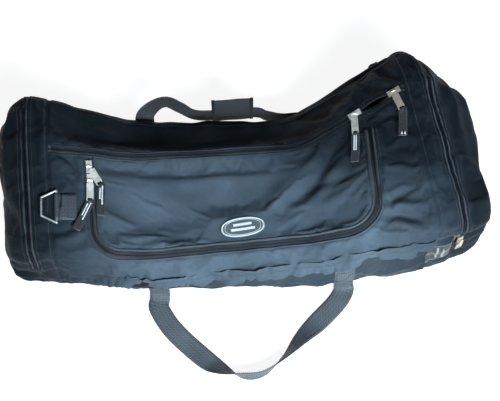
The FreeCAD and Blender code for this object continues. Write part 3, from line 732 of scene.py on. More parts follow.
def relaxed(p, hold):
    """The folded grid after a short cloth simulation of its coarse copy, held at its seams."""
    rows = np.arange(0, p.shape[0], 2)
    if rows[-1] != p.shape[0] - 1:
        rows = np.append(rows, p.shape[0] - 1)
    cols = np.arange(0, p.shape[1], 2)
    coarse, grip = p[np.ix_(rows, cols)], hold[np.ix_(rows, cols)]
    nu, nv = coarse.shape[:2]
    index = np.arange(nu * nv).reshape(nu, nv)
    turned = np.roll(index, -1, 1)
    quads = np.stack([index[:-1], index[1:], turned[1:], turned[:-1]], -1)
    obj = make("slack_cloth", coarse.reshape(-1, 3), quads.reshape(-1, 4)[:, ::-1], NYLON)
    pins = obj.vertex_groups.new(name="pins")
    grip = grip.ravel()
    for level in np.unique(np.round(grip, 1)):
        if level > 0:
            pins.add(np.flatnonzero(np.round(grip, 1) == level).tolist(), float(level), "REPLACE")
    cloth = obj.modifiers.new("cloth", "CLOTH")
    s = cloth.settings
    s.quality, s.mass = 5, 0.25
    s.tension_stiffness = s.compression_stiffness = 30
    s.shear_stiffness, s.bending_stiffness = 12, 0.6
    s.vertex_group_mass, s.pin_stiffness = "pins", 1.0
    s.shrink_min = s.shrink_max = -0.02
    s.effector_weights.gravity = 0.25
    cloth.collision_settings.use_collision = False
    cloth.point_cache.frame_start, cloth.point_cache.frame_end = 1, 40
    scene = bpy.context.scene
    for number in range(1, SLACK_FRAMES + 1):
        scene.frame_set(number)
    done = obj.evaluated_get(bpy.context.evaluated_depsgraph_get()).data
    co = np.zeros(len(done.vertices) * 3)
    done.vertices.foreach_get("co", co)
    shift = co.reshape(nu, nv, 3) / MM - coarse
    bpy.data.objects.remove(obj)
    scene.frame_set(1)
    size = np.linalg.norm(shift, axis=-1, keepdims=True)
    shift *= np.minimum(1, SLACK_REACH / np.maximum(size, 1e-6))
    # back onto the fine grid, smoothly in both directions
    at = np.interp(np.arange(p.shape[0]), rows, np.arange(nu))
    fine = catmull(shift.reshape(nu, -1), at).reshape(p.shape[0], nv, 3)
    ring = np.concatenate([fine[:, -2:], fine, fine[:, :3]], 1).transpose(1, 0, 2)
    where = np.arange(p.shape[1]) / 2 + 2
    fine = catmull(ring.reshape(nv + 5, -1), where).reshape(p.shape[1], p.shape[0], 3)
    return p + fine.transpose(1, 0, 2)


GRID = base_grid()
GRID_NORMAL = grid_normals(GRID)
SHAPED = folded(GRID, GRID_NORMAL)


def seams_hold(p, n):
    """How firmly each point is held: fully at seams, zips, floor and sewn-on parts."""
    q, m = p.reshape(-1, 3), n.reshape(-1, 3)
    top = m[:, 2] > 0.25
    hold = np.zeros(len(q))

    def near(distance, reach, where=True):
        nonlocal hold
        hold = np.maximum(hold, np.where(where, step(reach * 1.8, reach, abs(distance)), 0))

    for field in (F_LEFT_SEAM, F_RIGHT_SEAM, F_LEFT_ZIP, F_RIGHT_ZIP):
        near(field(q), 5)
    near(F_WET(q), 8, top)
    near(F_LID(q), 9, top & (F_LEGS(q) < 0))
    near(F_HEM(q), 5, m[:, 1] < -0.3)
    near(q[:, 2], 14)
    for a, b, _, reach in SEWN_ON:
        near(line_distance(q[:, :2], [a, b])[0], reach, top)
    return hold.reshape(p.shape[:2])


SHAPED = relaxed(SHAPED, seams_hold(GRID, GRID_NORMAL))
SHAPED[..., 2] = np.where(GRID[..., 2] < 3, GRID[..., 2], np.maximum(SHAPED[..., 2], 0.6))
NORMAL = grid_normals(SHAPED)
NU, NV = GRID.shape[:2]


def whole_skin():
    index = np.arange(NU * NV).reshape(NU, NV)
    around = np.linalg.norm(np.roll(GRID, -1, 1) - GRID, axis=-1).cumsum(1)
    along = lengths(GRID[:, MID_TOP])
    uv = np.stack([np.broadcast_to(along[:, None], around.shape), around], -1) * MM
    caps = [index[0].tolist()[::-1], index[-1].tolist()]
    return Skin(SHAPED.reshape(-1, 3), GRID.reshape(-1, 3), NORMAL.reshape(-1, 3),
                uv.reshape(-1, 2), ring_quads(index), caps)


SKIN = whole_skin()


# each side of the bag: its points round a section, the axis that tells them apart, its sense
SIDES = {"top": (np.arange(70, 192), 1, -1), "front": (np.arange(184, 234), 2, -1),
         "back": (np.arange(20, 76), 2, 1)}


def lookup(kind, x, t):
    """Places, normals on a side of the bag: x along it, t is y on the top or z on a face."""
    cols, k, way = SIDES[kind]
    x, t = np.broadcast_arrays(np.asarray(x, float), np.asarray(t, float))
    pos, nor = np.zeros(x.shape + (3,)), np.zeros(x.shape + (3,))
    line_x = GRID[:, MID_TOP, 0]
    for i in np.ndindex(x.shape):
        u = np.clip(np.interp(x[i], line_x, np.arange(NU)), 0, NU - 1.001)
        a, f = int(u), u - int(u)
        got = []
        for row in (a, a + 1):
            key = GRID[row, cols, k][::way]
            column = np.interp(t[i], key, cols[::way])
            b, g = int(min(column, NV - 2)), column - int(min(column, NV - 2))
            got.append([m[row, b] * (1 - g) + m[row, b + 1] * g for m in (SHAPED, NORMAL)])
        pos[i] = got[0][0] * (1 - f) + got[1][0] * f
        nor[i] = got[0][1] * (1 - f) + got[1][1] * f
    return pos, unit(nor)


def isoline(field, keep, pitch=2.0, smooth=2):
    """The longest line on the skin where field is 0 and keep holds: places and normals."""
    value = field(SKIN.ref)
    above = value[SKIN.quads] > 0
    crossing = SKIN.quads[above.any(1) & ~above.all(1)]
    links, spots = {}, {}
    for quad in crossing:
        hit = []
        for a, b in zip(quad, np.roll(quad, -1)):
            if (value[a] > 0) != (value[b] > 0):
                key = (min(a, b), max(a, b))
                if key not in spots:
                    t = value[a] / (value[a] - value[b])
                    spots[key] = [m[a] * (1 - t) + m[b] * t
                                  for m in (SKIN.pos, SKIN.nor, SKIN.ref)]
                hit.append(key)
        if len(hit) == 2:
            links.setdefault(hit[0], []).append(hit[1])
            links.setdefault(hit[1], []).append(hit[0])
    good = {k for k, s in spots.items() if keep(s[2], unit(s[1]))}
    best = []
    seen = set()
    starts = [k for k in links if k in good and sum(j in good for j in links[k]) < 2]
    for start in starts + [k for k in links if k in good]:
        if start in seen:
            continue
        chain, here = [start], start
        seen.add(start)
        while True:
            following = [j for j in links[here] if j in good and j not in seen]
            if not following:
                break
            here = following[0]
            seen.add(here)
            chain.append(here)
        if len(chain) > len(best):
            best = chain
    pos, nor = (np.array([spots[k][m] for k in best]) for m in (0, 1))
    length = lengths(pos)
    at = np.linspace(0, length[-1], max(int(length[-1] / pitch), 4) + 1)
    pos, nor = (np.stack([np.interp(at, length, m[:, k]) for k in range(3)], 1)
                for m in (pos, nor))
    for _ in range(smooth):
        for m in (pos, nor):
            m[1:-1] = m[1:-1] * 0.5 + (m[:-2] + m[2:]) * 0.25
    return pos, unit(nor)


def frames_along(pos, nor):
    run = unit(np.gradient(pos, axis=0))
    return run, unit(np.cross(nor, run))


def sweep(pos, side, up, profile, name, material):
    """Profile (across, up) carried along a path, with closed ends."""
    profile = np.asarray(profile, float)
    if profile.ndim == 2:
        profile = np.broadcast_to(profile, (len(pos),) + profile.shape)
    count = profile.shape[1]
    verts = (pos[:, None] + side[:, None] * profile[..., :1] + up[:, None] * profile[..., 1:])
    index = np.arange(len(pos) * count).reshape(len(pos), count)
    uv = np.stack(np.meshgrid(lengths(pos), lengths(profile[0]), indexing="ij"), -1)
    ends = [index[0].tolist()[::-1], index[-1].tolist()]
    return make(name, verts.reshape(-1, 3), ring_quads(index).tolist() + ends, material,
                uv.reshape(-1, 2) * MM)


def round_profile(width, height, count=8, lift=0.0):
    a = np.arange(count) * 2 * math.pi / count
    return np.stack([np.cos(a) * width / 2, np.sin(a) * height / 2 + lift], 1)


def flat_profile(width, thick, count=9, cup=0.0):
    """Flat webbing with soft edges."""
    s = np.linspace(-1, 1, count)
    edge = np.sqrt(np.clip(1 - np.abs(s) ** 14, 0, 1)) * 0.85 + 0.15
    arch = cup * (1 - s * s)
    upper = np.stack([s * width / 2, thick / 2 * edge + arch], 1)
    lower = np.stack([s[::-1] * width / 2, -thick / 2 * edge[::-1] + arch[::-1]], 1)
    return np.vstack([upper, lower])


def boxes(name, centres, run, side, up, size, material, body, slot):
    """Many small bevelled blocks in one mesh: coil teeth and stitches."""
    l, w, h = (s / 2 for s in size)
    ring = [(-l, -w * 0.7), (-l * 0.6, -w), (l * 0.6, -w), (l, -w * 0.7),
            (l, w * 0.7), (l * 0.6, w), (-l * 0.6, w), (-l, w * 0.7)]
    local = np.array([(a, b, -h) for a, b in ring]
                     + [(a * 0.72, b * 0.8, h) for a, b in ring], float)
    verts = (centres[:, None] + run[:, None] * local[None, :, :1]
             + side[:, None] * local[None, :, 1:2] + up[:, None] * local[None, :, 2:])
    faces = []
    for i in range(len(centres)):
        o = i * 16
        faces += [[o + k, o + (k + 1) % 8, o + 8 + (k + 1) % 8, o + 8 + k] for k in range(8)]
        faces.append([o + 8 + k for k in range(8)])
        faces.append([o + 7 - k for k in range(8)])
    return settle(make(name, verts.reshape(-1, 3), faces, material, smooth=False), body, slot)


def spaced(pos, nor, pitch, first):
    """Every pitch along a path: the place, its normal, and the ways along and across."""
    span = lengths(pos)
    at = np.arange(first, span[-1], pitch)
    return [np.stack([np.interp(at, span, m[:, k]) for k in range(3)], 1)
            for m in (pos, nor, *frames_along(pos, nor))]


def stitches(name, pos, nor, body, pitch=4.4, lift=0.15, length=3.0, slot="nylon"):
    pos, nor, run, side = spaced(pos, nor, pitch, pitch / 2)
    return boxes(name, pos + nor * lift, unit(run), unit(side), unit(nor), (length, 0.8, 0.7),
                 THREAD, body, slot)


COIL_PITCH, COIL_LEAN, COIL_TURN = 2.3, 0.22, (1.35, 3.7, 2.0)


def coil(name, pos, nor, body, phase, way):
    """One row of a zip's coil: slanted turns, one after the other."""
    pos, nor, run, side = spaced(pos, nor, COIL_PITCH, COIL_PITCH * (0.5 + phase))
    run, side, lean = unit(run), unit(side), COIL_LEAN * way
    return boxes(name, pos + nor * 0.9, unit(run - side * lean), unit(side + run * lean),
                 unit(nor), COIL_TURN, COIL, body, "zip")


# ==== the panels ====================================================================
THICK = 1.8
BAG_LEFT = ("bag", "left_pocket", (-465, 0, POCKET_FOOT), (-465, 0, POCKET_FOOT + 68))
BAG_RIGHT = ("bag", "right_pocket", (441, 0, POCKET_FOOT), (441, 0, POCKET_FOOT + 68))
fold_a, fold_b = (np.array((x, y), float) for x, y in LID_FOLD)
fold_way = unit(fold_b - fold_a)
fold_in = np.array([fold_way[1], -fold_way[0]])          # towards the front, in plan
fold_mid = (fold_a + fold_b) / 2
BAG_LID = ("bag", "lid", (*(fold_mid - fold_in * 13), 0), (*(fold_mid + fold_in * 13), 0))


def panel(name, piece, body, *nodes, material=NYLON, cuts=()):
    """Settle a piece of cloth, after cutting it along (line, side) pairs."""
    for field, side in cuts:
        piece = piece.cut(field, side)
    return settle(piece.solid(name, material, LINING, THICK), body, "nylon", *nodes)


def zip_tape(name, piece, body, *nodes, inside=TAPE, cuts=()):
    """Settle a strip of zip tape, sunk below the cloth beside it."""
    for field, side in cuts:
        piece = piece.cut(field, side)
    return settle(piece.solid(name, TAPE, inside, TAPE_THICK, -TAPE_THICK), body, "zip", *nodes)


H = CHAIN_HALF
GAP = 1.1                       # from the middle of a zip to the edge of its tape
TAPE_THICK = 0.8
ROW = 1.95                      # from the middle of a zip to the middle of a row of its coil
above_foot, below_foot = (height(POCKET_FOOT), 1), (height(POCKET_FOOT), -1)
# both ends: zip, seam, which way is outwards, the pair of bodies given for its flap
ENDS = (("left", F_LEFT_ZIP, F_LEFT_SEAM, -1, BAG_LEFT),
        ("right", F_RIGHT_ZIP, F_RIGHT_SEAM, 1, BAG_RIGHT))
for side, zip_line, seam_line, way, flap in ENDS:
    panel(f"{side}_end", SKIN, flap, f"{side}_end_panel", f"{side}_pocket_flap",
          cuts=[(shifted(zip_line, way * H), way)])
    panel(f"{side}_end_foot", SKIN, "bag",
          cuts=[(shifted(zip_line, -H), 1), (shifted(zip_line, H), -1), below_foot])
    zip_tape(f"{side}_tape_outer", SKIN, flap, inside=LINING,
             cuts=[(shifted(zip_line, way * H), -way), (shifted(zip_line, way * GAP), way),
                   above_foot])
    zip_tape(f"{side}_tape_inner", SKIN, "bag", f"{side}_zip_chain", inside=LINING,
             cuts=[(shifted(zip_line, -way * H), way), (shifted(zip_line, -way * GAP), -way),
                   above_foot])
    panel(f"{side}_band_cloth", SKIN, "bag", f"{side}_band",
          cuts=[(shifted(zip_line, -way * H), -way), (seam_line, way)])
MAIN = SKIN.cut(F_LEFT_SEAM, 1).cut(F_RIGHT_SEAM, -1)
WALLS = MAIN.cut(height(BASE_TOP), 1)
UPPER = WALLS.cut(F_HEM, 1)
TOP = UPPER.cut(F_BACK, -1)
TOP_FRONT = TOP.cut(wet_side(-1, H), -1)
AHEAD = TOP_FRONT.cut(F_LEGS, -1)
# the base and the lower front carry painted shade: a darker copy of the nylon
panel("base_cloth", MAIN.cut(height(BASE_TOP), -1), "bag", "base_panel", material=SHADED_NYLON)
panel("front_lower_cloth", WALLS.cut(F_HEM, -1), "bag", "front_lower_panel",
      material=SHADED_NYLON)
panel("back_cloth", UPPER.cut(F_BACK, 1), "bag", "back_panel")
panel("top_back_cloth", TOP.cut(wet_side(1, H), 1), "bag", "top_back_panel")
for name, way, nodes in (("wet_tape_far", 1, ["wet_zip_chain"]), ("wet_tape_near", -1, [])):
    zip_tape(name, TOP.cut(wet_side(way, H), -way).cut(wet_side(way, GAP, 1.0), way), "bag",
             *nodes)
panel("top_strip_cloth", TOP_FRONT.cut(F_LEGS, 1), "bag")
panel("top_front_cloth", AHEAD.cut(shifted(F_LID, H), 1), "bag", "top_front_panel")
zip_tape("lid_tape_outer", AHEAD.cut(shifted(F_LID, H), -1).cut(shifted(F_LID, GAP), 1), "bag",
         "lid_zip_chain")
zip_tape("lid_tape_inner", AHEAD.cut(shifted(F_LID, -GAP), -1).cut(shifted(F_LID, -H), 1),
         BAG_LID)
panel("lid_cloth", AHEAD.cut(shifted(F_LID, -H), -1), BAG_LID, "lid_panel")

# ==== zips, folded edges, piping and stitching ======================================
on_top = lambda r, n: n[2] > 0.2 and LEFT_SEAM_X + 3 < r[0] < 303
legs_ahead = lambda r, n: n[2] > 0.0 and r[2] > 40 and r[1] < plan_line(LID_LEG_ENDS, r[0])
high = lambda r, n: r[2] > POCKET_FOOT + 1
walls_up = lambda r, n: r[2] > BASE_TOP - 8


def edge_roll(name, field, keep, body, width=2.6, height_mm=1.7, lift=0.35, material=None,
              slot="nylon", nodes=()):
    pos, nor = isoline(field, keep)
    run, side = frames_along(pos, nor)
    obj = sweep(pos, side, nor, round_profile(width, height_mm, 10, lift), name,
                material or NYLON)
    return settle(obj, body, slot, *nodes)


def zip_rows(name, near, far, keep, far_body):
    for label, field, body, phase, way in (("near", near, "bag", 0.0, 1),
                                           ("far", far, far_body, 0.5, -1)):
        pos, nor = isoline(field, keep)
        coil(f"{name}_coil_{label}", pos, nor, body, phase, way)


zip_rows("wet", wet_side(-1, ROW, 1.0), wet_side(1, ROW, 1.0), on_top, "bag")
zip_rows("lid", shifted(F_LID, ROW), shifted(F_LID, -ROW), legs_ahead, BAG_LID)
for side, zip_line, _, way, flap in ENDS:
    zip_rows(side, shifted(zip_line, -way * ROW), shifted(zip_line, way * ROW), high, flap)


def beside_zips(kind, off):
    """Lines beside every zip, off from its middle: name, line, where it runs, body."""
    lines = [(f"wet_{kind}_near", wet_side(-1, off), on_top, "bag"),
             (f"wet_{kind}_far", wet_side(1, off), on_top, "bag"),
             (f"lid_{kind}_outer", shifted(F_LID, off), legs_ahead, "bag")]
    for side, zip_line, _, way, flap in ENDS:
        lines += [(f"{side}_{kind}_outer", shifted(zip_line, way * off), high, flap),
                  (f"{side}_{kind}_inner", shifted(zip_line, -way * off), high, "bag")]
    return lines


for name, field, keep, body in beside_zips("edge", H + 1):
    edge_roll(name, field, keep, body)
edge_roll("lid_piping_cord", shifted(F_LID, -H - 2.2), legs_ahead, BAG_LID, 3.8, 3.6, 1.1,
          PIPING, "piping", ["lid_piping"])
stitched = beside_zips("stitch", H + 5)
stitched.insert(3, ("lid_stitch_inner", shifted(F_LID, -H - 7), legs_ahead, BAG_LID))
stitched += [("left_seam_stitch", shifted(F_LEFT_SEAM, -5), walls_up, "bag"),
             ("right_seam_stitch", shifted(F_RIGHT_SEAM, 5), walls_up, "bag")]
for name, field, keep, body in stitched:
    pos, nor = isoline(field, keep)
    stitches(name, pos, nor, body)
for name, field in (("left_seam_roll", F_LEFT_SEAM), ("right_seam_roll", F_RIGHT_SEAM)):
    edge_roll(name, field, walls_up, "bag", 3.0, 2.4, 0.2)
on_back = lambda r, n: r[1] > 60 and LEFT_SEAM_X + 2 < r[0] < 295
edge_roll("back_seam_roll", F_BACK, lambda r, n: r[2] > 60 and on_back(r, n), "bag",
          3.0, 2.2, 0.2)
base_line = lambda r, n: LEFT_SEAM_X + 2 < r[0] < 318
for name, keep in (("base_roll_front", lambda r, n: r[1] < 0 and base_line(r, n)),
                   ("base_roll_back", lambda r, n: r[1] > 0 and base_line(r, n))):
    edge_roll(name, height(BASE_TOP), keep, "bag", 3.2, 2.6, 0.3, PIPING, "piping")


def patch(name, kind, xs, ts, lift, thick, material, body, slot, nodes=()):
    """A sewn-on piece that follows the cloth: xs, ts are grids of lookup coordinates."""
    xs, ts = np.broadcast_arrays(np.asarray(xs, float), np.asarray(ts, float))
    pos, nor = lookup(kind, xs, ts)
    rows, cols = xs.shape
    a, b = np.linspace(-1, 1, rows)[:, None], np.linspace(-1, 1, cols)[None]
    edge = np.minimum(1, np.minimum(1 - abs(a), 1 - abs(b)) * 8) ** 0.5
    upper = pos + nor * (lift + thick * (0.35 + 0.65 * edge))[..., None]
    lower = pos + nor * lift * 0.2
    quads, loop = sheet_faces(rows, cols)
    a_edge, b_edge = pos[1, 0] - pos[0, 0], pos[0, 1] - pos[0, 0]
    if np.cross(a_edge, b_edge) @ nor[0, 0] < 0:
        quads = quads[:, ::-1]
    count = rows * cols
    rim = [[p, q, q + count, p + count] for p, q in zip(loop, np.roll(loop, -1))]
    if np.cross(a_edge, b_edge) @ nor[0, 0] > 0:
        rim = [r[::-1] for r in rim]
    uv = np.stack([xs, ts], -1).reshape(-1, 2) * MM
    obj = make(name, np.vstack([upper.reshape(-1, 3), lower.reshape(-1, 3)]),
               quads.tolist() + (quads[:, ::-1] + count).tolist() + rim, material,
               np.vstack([uv, uv]))
    return settle(obj, body, slot, *nodes)


# overhanging fold along the front seam, gathered where it is sewn
hem_x = np.arange(-352, 313, 2.0)
hem_steps = [(-15, -0.8), (-11, 1.2), (-6, 2.8), (0, 4.6), (5, 6.2), (8.5, 6.6), (11, 5.4),
             (11.6, 3.4), (10, 1.2), (6, -0.8)]
tuck = waves(hem_x[:, None], 44, 21) * 0.55 + waves(hem_x[:, None], 15, 22) * 0.2
taper = step(-352, -320, hem_x) * step(313, 285, hem_x)
hem_pos, hem_nor = lookup("front", hem_x, hem_line(hem_x) + 8)
hem_above, _ = lookup("front", hem_x, hem_line(hem_x) + 14)
hem_down = unit(hem_pos - hem_above)
hem_verts = []
for drop, out in hem_steps:
    swing = tuck * (1.6 if drop > 3 else 0.8)
    hem_verts.append(hem_pos + hem_down * (drop + swing * (drop > -9))[:, None]
                     + hem_nor * (out * (0.4 + 0.6 * taper) + swing * (out > 1))[:, None])
hem_verts = np.array(hem_verts).transpose(1, 0, 2)
rows, cols = hem_verts.shape[:2]
index = np.arange(rows * cols).reshape(rows, cols)
hem_quads = np.stack([index[:-1, :-1], index[:-1, 1:], index[1:, 1:], index[1:, :-1]], -1)
hem_uv = np.stack(np.meshgrid(hem_x, np.arange(cols) * 4.0, indexing="ij"), -1) * MM
hem_ends = [index[0].tolist()[::-1], index[-1].tolist()]
hem = make("front_hem_fold", hem_verts.reshape(-1, 3),
           hem_quads.reshape(-1, 4).tolist() + hem_ends, NYLON, hem_uv.reshape(-1, 2))
settle(hem, "bag", "nylon", "front_hem")
stitches("front_hem_stitch", hem_verts[:, 2] + hem_nor * 0.2, hem_nor, "bag")

# painted shadow: a near-black strip on the front just under the hem fold
shadow_strip_x = np.arange(-346, 307, 3.0)
patch("front_hem_shadow_strip", "front", shadow_strip_x[:, None],
      hem_line(shadow_strip_x)[:, None] + np.linspace(-21, -5, 7)[None], 0.2, 0.6, SHADOW_STRIP, "bag",
      "nylon")

# webbing sewn to the bag
for side, x in zip(("left", "right"), HANDLE_X):
    across = np.linspace(x - 19, x + 19, 11)[:, None]
    low, top_z = 27.0, float(hem_line(x)) - 1
    patch(f"front_anchor_{side}_web", "front", across, np.linspace(low, top_z, 12)[None], 0.4,
          1.9, WEBBING, "bag", "webbing", [f"front_anchor_{side}"])
    patch(f"back_anchor_{side}_web", "back", across, np.linspace(5, 31, 8)[None], 0.4, 1.9,
          WEBBING, "bag", "webbing", [f"back_anchor_{side}"])
    for label, kind, z_low, z_high in (("front", "front", 30, min(top_z - 3, 62)),
                                       ("back", "back", 8, 26)):
        pts = [(x - 16, z_low), (x + 16, z_low), (x + 16, z_high), (x - 16, z_high),
               (x - 16, z_low), (x + 16, z_high)]
        path = np.vstack([np.linspace(a, b, 12, endpoint=False) for a, b in zip(pts, pts[1:])])
        pos, nor = lookup(kind, path[:, 0], path[:, 1])
        stitches(f"{label}_anchor_{side}_stitch", pos + nor * 2.3, nor, "bag", 3.2,
                 slot="webbing")

# label patch: webbing with two plain bars
label_x = np.linspace(312, 358, 14)[:, None]
patch("label_web", "front", label_x, np.linspace(52, 104, 16)[None], 0.3, 1.7, TAB, "bag",
      "webbing", ["label_tab"])
# the label's bars carry painted shade: they are dimmed like the lower front around them
for i, (low, high_z) in enumerate(((66, 100), (66, 92))):
    patch(f"label_bar_{i}", "front", np.linspace(329 + i * 11, 333 + i * 11, 5)[:, None],
          np.linspace(low, high_z, 14)[None], 1.9, 0.5, SHADED_MARK, "bag", "tab")

# badge: oval with a light rim and two plain bars
BADGE_X, BADGE_Y, BADGE_A, BADGE_B = -20.0, -101.0, 41.0, 18.5
turn = np.linspace(0, 2 * math.pi, 73)[:-1]


def oval(scale, power=2.35):
    c, s = np.cos(turn), np.sin(turn)
    r = 1 / (abs(c) ** power + abs(s) ** power) ** (1 / power)
    return BADGE_X + BADGE_A * scale * c * r, BADGE_Y + BADGE_B * scale * s * r


rings = []
for scale, lift in ((1.0, -0.2), (1.0, 1.5), (0.985, 2.1), (0.9, 2.3), (0.7, 2.5), (0.45, 2.7),
                    (0.2, 2.8), (0.02, 2.8)):
    pos, nor = lookup("top", *oval(scale))
    rings.append(pos + nor * lift)
rings = np.array(rings)
index = np.arange(rings.shape[0] * 72).reshape(-1, 72)
badge_ends = [index[-1].tolist(), index[0].tolist()[::-1]]
settle(make("badge_oval", rings.reshape(-1, 3), ring_quads(index).tolist() + badge_ends, BADGE),
       "lid", "badge", "badge")
for label, scale, width in (("rim", 0.93, 2.6), ("line", 0.80, 0.9)):
    px, py = oval(scale)
    pos, nor = lookup("top", np.append(px, px[:2]), np.append(py, py[:2]))
    run, side = frames_along(pos, nor)
    settle(sweep(pos, side, nor, round_profile(width, 1.3, 8, 2.4), f"badge_{label}", MARK),
           "lid", "badge")
for i, (dy, half_long) in enumerate(((4.8, 17), (-4.6, 22))):
    bar_x = np.linspace(BADGE_X - half_long, BADGE_X + half_long, 16)[:, None]
    bar_y = np.linspace(BADGE_Y + dy - 2.6, BADGE_Y + dy + 2.6, 5)[None]
    patch(f"badge_bar_{i}", "top", bar_x, bar_y, 2.5, 0.6, MARK, "lid", "badge")


# ==== handles =======================================================================
def surface(x, k):
    return float(np.interp(x, STATIONS[:, 0], STATIONS[:, k]))


def strap(name, path, material, body, slot, nodes, width=38.0, thick=2.2, steps=9):
    """Webbing along points, each with the direction of the webbing's width."""
    knots = np.array([p for p, _ in path], float)
    ways = unit(np.array([w for _, w in path], float))
    t = np.linspace(0, len(path) - 1, (len(path) - 1) * steps + 1)
    pos, wide = catmull(knots, t), catmull(ways, t)
    run = unit(np.gradient(pos, axis=0))
    wide = unit(wide - run * (wide * run).sum(-1, keepdims=True))
    up = np.cross(run, wide)
    obj = sweep(pos, wide, up, flat_profile(width, thick, 13, 0.5), name, material)
    settle(obj, body, slot, *nodes)
    edge = width / 2 - 3.2
    for label, way in (("a", 1), ("b", -1)):
        stitches(f"{name}_stitch_{label}", pos + wide * way * edge + up * (thick / 2 + 0.35), up,
                 body, 3.6, 0.0, 2.4, slot=slot)


left_x, right_x = HANDLE_X
front_left, front_right = surface(left_x, 1) - 2.0, surface(right_x, 1) - 2.0
X_WAY, DOWN = (1, 0, 0), (0, 0, -1)
left_lie, right_lie = (1, -0.103, 0), (-1, -0.035, 0)
strap("front_handle_web", [
    ((left_x, front_left - 0.5, 28), left_lie), ((left_x, front_left - 5, 12), left_lie),
    ((left_x - 2, front_left - 16, 4.0), X_WAY), ((-190, -196, 2.2), X_WAY),
    ((-166, -243, 2.2), (49, 24, 0)), ((-115, -303, 4), (62, 50, -10)),
    ((-84, -331, 14.8), (20, 35, -40)), ((-50, -348, 19.8), DOWN), ((-12, -348, 19.8), DOWN),
    ((30, -322, 19.5), (-8, 14, -40)), ((68, -287, 13.5), (-25, 35, -30)),
    ((106, -255, 3.2), (-30, 40, -2)), ((142, -225, 2.2), (-40, 30, 0)),
    ((right_x, front_right - 12, 4.6), (-1, 0, 0)),
    ((right_x, front_right - 4, 12), right_lie), ((right_x, front_right - 0.5, 28), right_lie),
], WEBBING, "front_handle", "webbing", ["front_handle"])
back_left, back_right = surface(left_x, 2) + 5, surface(right_x, 2) + 5
# the back handle's webbing carries painted shade: a darker copy of the front handle's webbing
strap("back_handle_web", [
    ((left_x, back_left, 30), X_WAY), ((left_x, back_left + 4, 54), X_WAY),
    ((left_x + 4, back_left + 12, 75), (40, 0, -20)), ((-160, 204, 89), (20, 0, -40)),
    ((-136, 209, 88), DOWN), ((-112, 202, 74), (-8, 0, -40)), ((-86, 191, 61), DOWN),
    ((-50, 187, 57), DOWN), ((36, 184, 57), DOWN), ((62, 175, 53), DOWN),
    ((92, 166, 51), DOWN), ((122, 164, 52), DOWN),
    ((right_x - 13, 165, 45), (-28, 0, -28)), ((right_x, back_right, 30), (-1, 0, 0)),
], SHADED_WEBBING, "back_handle", "webbing", ["back_handle"])

# padded wrap: two layers closed round the webbing, bound at both ends
wrap_run = unit(np.array([86.0, -3.0, 0.0]))
wrap_out = np.array([wrap_run[1], -wrap_run[0], 0.0]) * -1
along = np.linspace(-41, 41, 34)
turn_w = np.arange(40) * 2 * math.pi / 40
c, s = np.cos(turn_w), np.sin(turn_w)
verts = []
for k, a in enumerate(along):
    puff = 1 + 0.35 * (1 - (a / 41) ** 4)
    dent = 0.25 * math.sin(a / 6.0)
    up = 36.5 * np.sign(s) * abs(s) ** 0.55 * (1 + 0.012 * math.sin(a / 9.0))
    out = 2.9 * np.sign(c) * abs(c) ** 0.7 * puff + dent * c
    verts.append(np.array([-7, 185.5, 72]) + wrap_run * a + wrap_out * out[:, None]
                 + np.array([0, 0, 1.0]) * up[:, None])
verts = np.array(verts)
index = np.arange(len(along) * 40).reshape(-1, 40)
quads = ring_quads(index)
uv = np.stack(np.meshgrid(along, np.arange(40) * 4.0, indexing="ij"), -1).reshape(-1, 2) * MM
wrap = make("grip_pad", verts.reshape(-1, 3), quads[:, ::-1].tolist()
            + [index[0].tolist(), index[-1].tolist()[::-1]], GRIP, uv)
settle(wrap, "back_handle", "grip", "grip_wrap")
for label, k in (("left", 1), ("right", -2)):
    ring = verts[k]
    centre = ring.mean(0)
    loop = centre + (ring - centre) * 1.02
    loop = np.vstack([loop, loop[:2]])
    out = unit(loop - centre)
    run = unit(np.gradient(loop, axis=0))
    obj = sweep(loop, unit(np.cross(out, run)), out, round_profile(7, 1.8, 8, 0.5),
                f"grip_binding_{label}", PIPING)
    settle(obj, "back_handle", "grip")


# ==== strap rings ===================================================================
def top_plane(x, y):
    front, back, z_front, z_back = [surface(x, k) for k in (1, 2, 3, 4)]
    return np.array([x, y, z_front + (z_back - z_front) * (y - front) / (back - front)])


def top_frame(x, y, heading):
    along_x = top_plane(x + 2, y) - top_plane(x - 2, y)
    along_y = top_plane(x, y + 2) - top_plane(x, y - 2)
    normal = unit(np.cross(along_x, along_y))
    here = top_plane(x, y)
    run = unit(top_plane(x + heading[0] * 2, y + heading[1] * 2) - here)
    return here, run, np.cross(normal, run), normal


def ring_webbing(side, here, run, bar_way, normal, tail):
    """Webbing round the ring's bar; tail is a row of places and normals under its flat part."""
    centre = here + normal * 4.9
    points, ups = [], []
    for a in np.radians(np.linspace(-80, 215, 20)):
        d = run * math.cos(a) + normal * math.sin(a)
        points.append(centre + d * 3.65)
        ups.append(d)
    points = [centre - normal * 3.4 - run * 8 + normal * 0.6] + points
    ups = [-normal] + ups
    pos, nor = tail
    for p, n in zip(pos, nor):
        points.append(p + n * 2.9)
        ups.append(n)
    points, ups = np.array(points), np.array(ups)
    for _ in range(2):
        points[1:-1] = points[1:-1] * 0.6 + (points[:-2] + points[2:]) * 0.2
    across = np.broadcast_to(bar_way, points.shape)
    along = unit(np.gradient(points, axis=0))
    up = unit(ups - along * (ups * along).sum(-1, keepdims=True))
    wide = np.cross(up, along)
    obj = sweep(points, wide, up, flat_profile(49, 1.5, 13), f"{side}_ring_web",
                RING_WEB)
    settle(obj, "bag", "webbing", f"{side}_ring_loop")
    inner = points[24:-1], up[24:-1], wide[24:-1]
    for label, way in (("a", 21.0), ("b", -21.0)):
        stitches(f"{side}_ring_stitch_{label}", inner[0] + inner[2] * way + inner[1] * 0.9,
                 inner[1], "bag", 3.2, slot="webbing")
    cross_pos = inner[0][1] + np.linspace(-21, 21, 12)[:, None] * inner[2][1] + inner[1][1] * 0.9
    stitches(f"{side}_ring_stitch_c", cross_pos, np.broadcast_to(inner[1][1], cross_pos.shape),
             "bag", 3.2, slot="webbing")


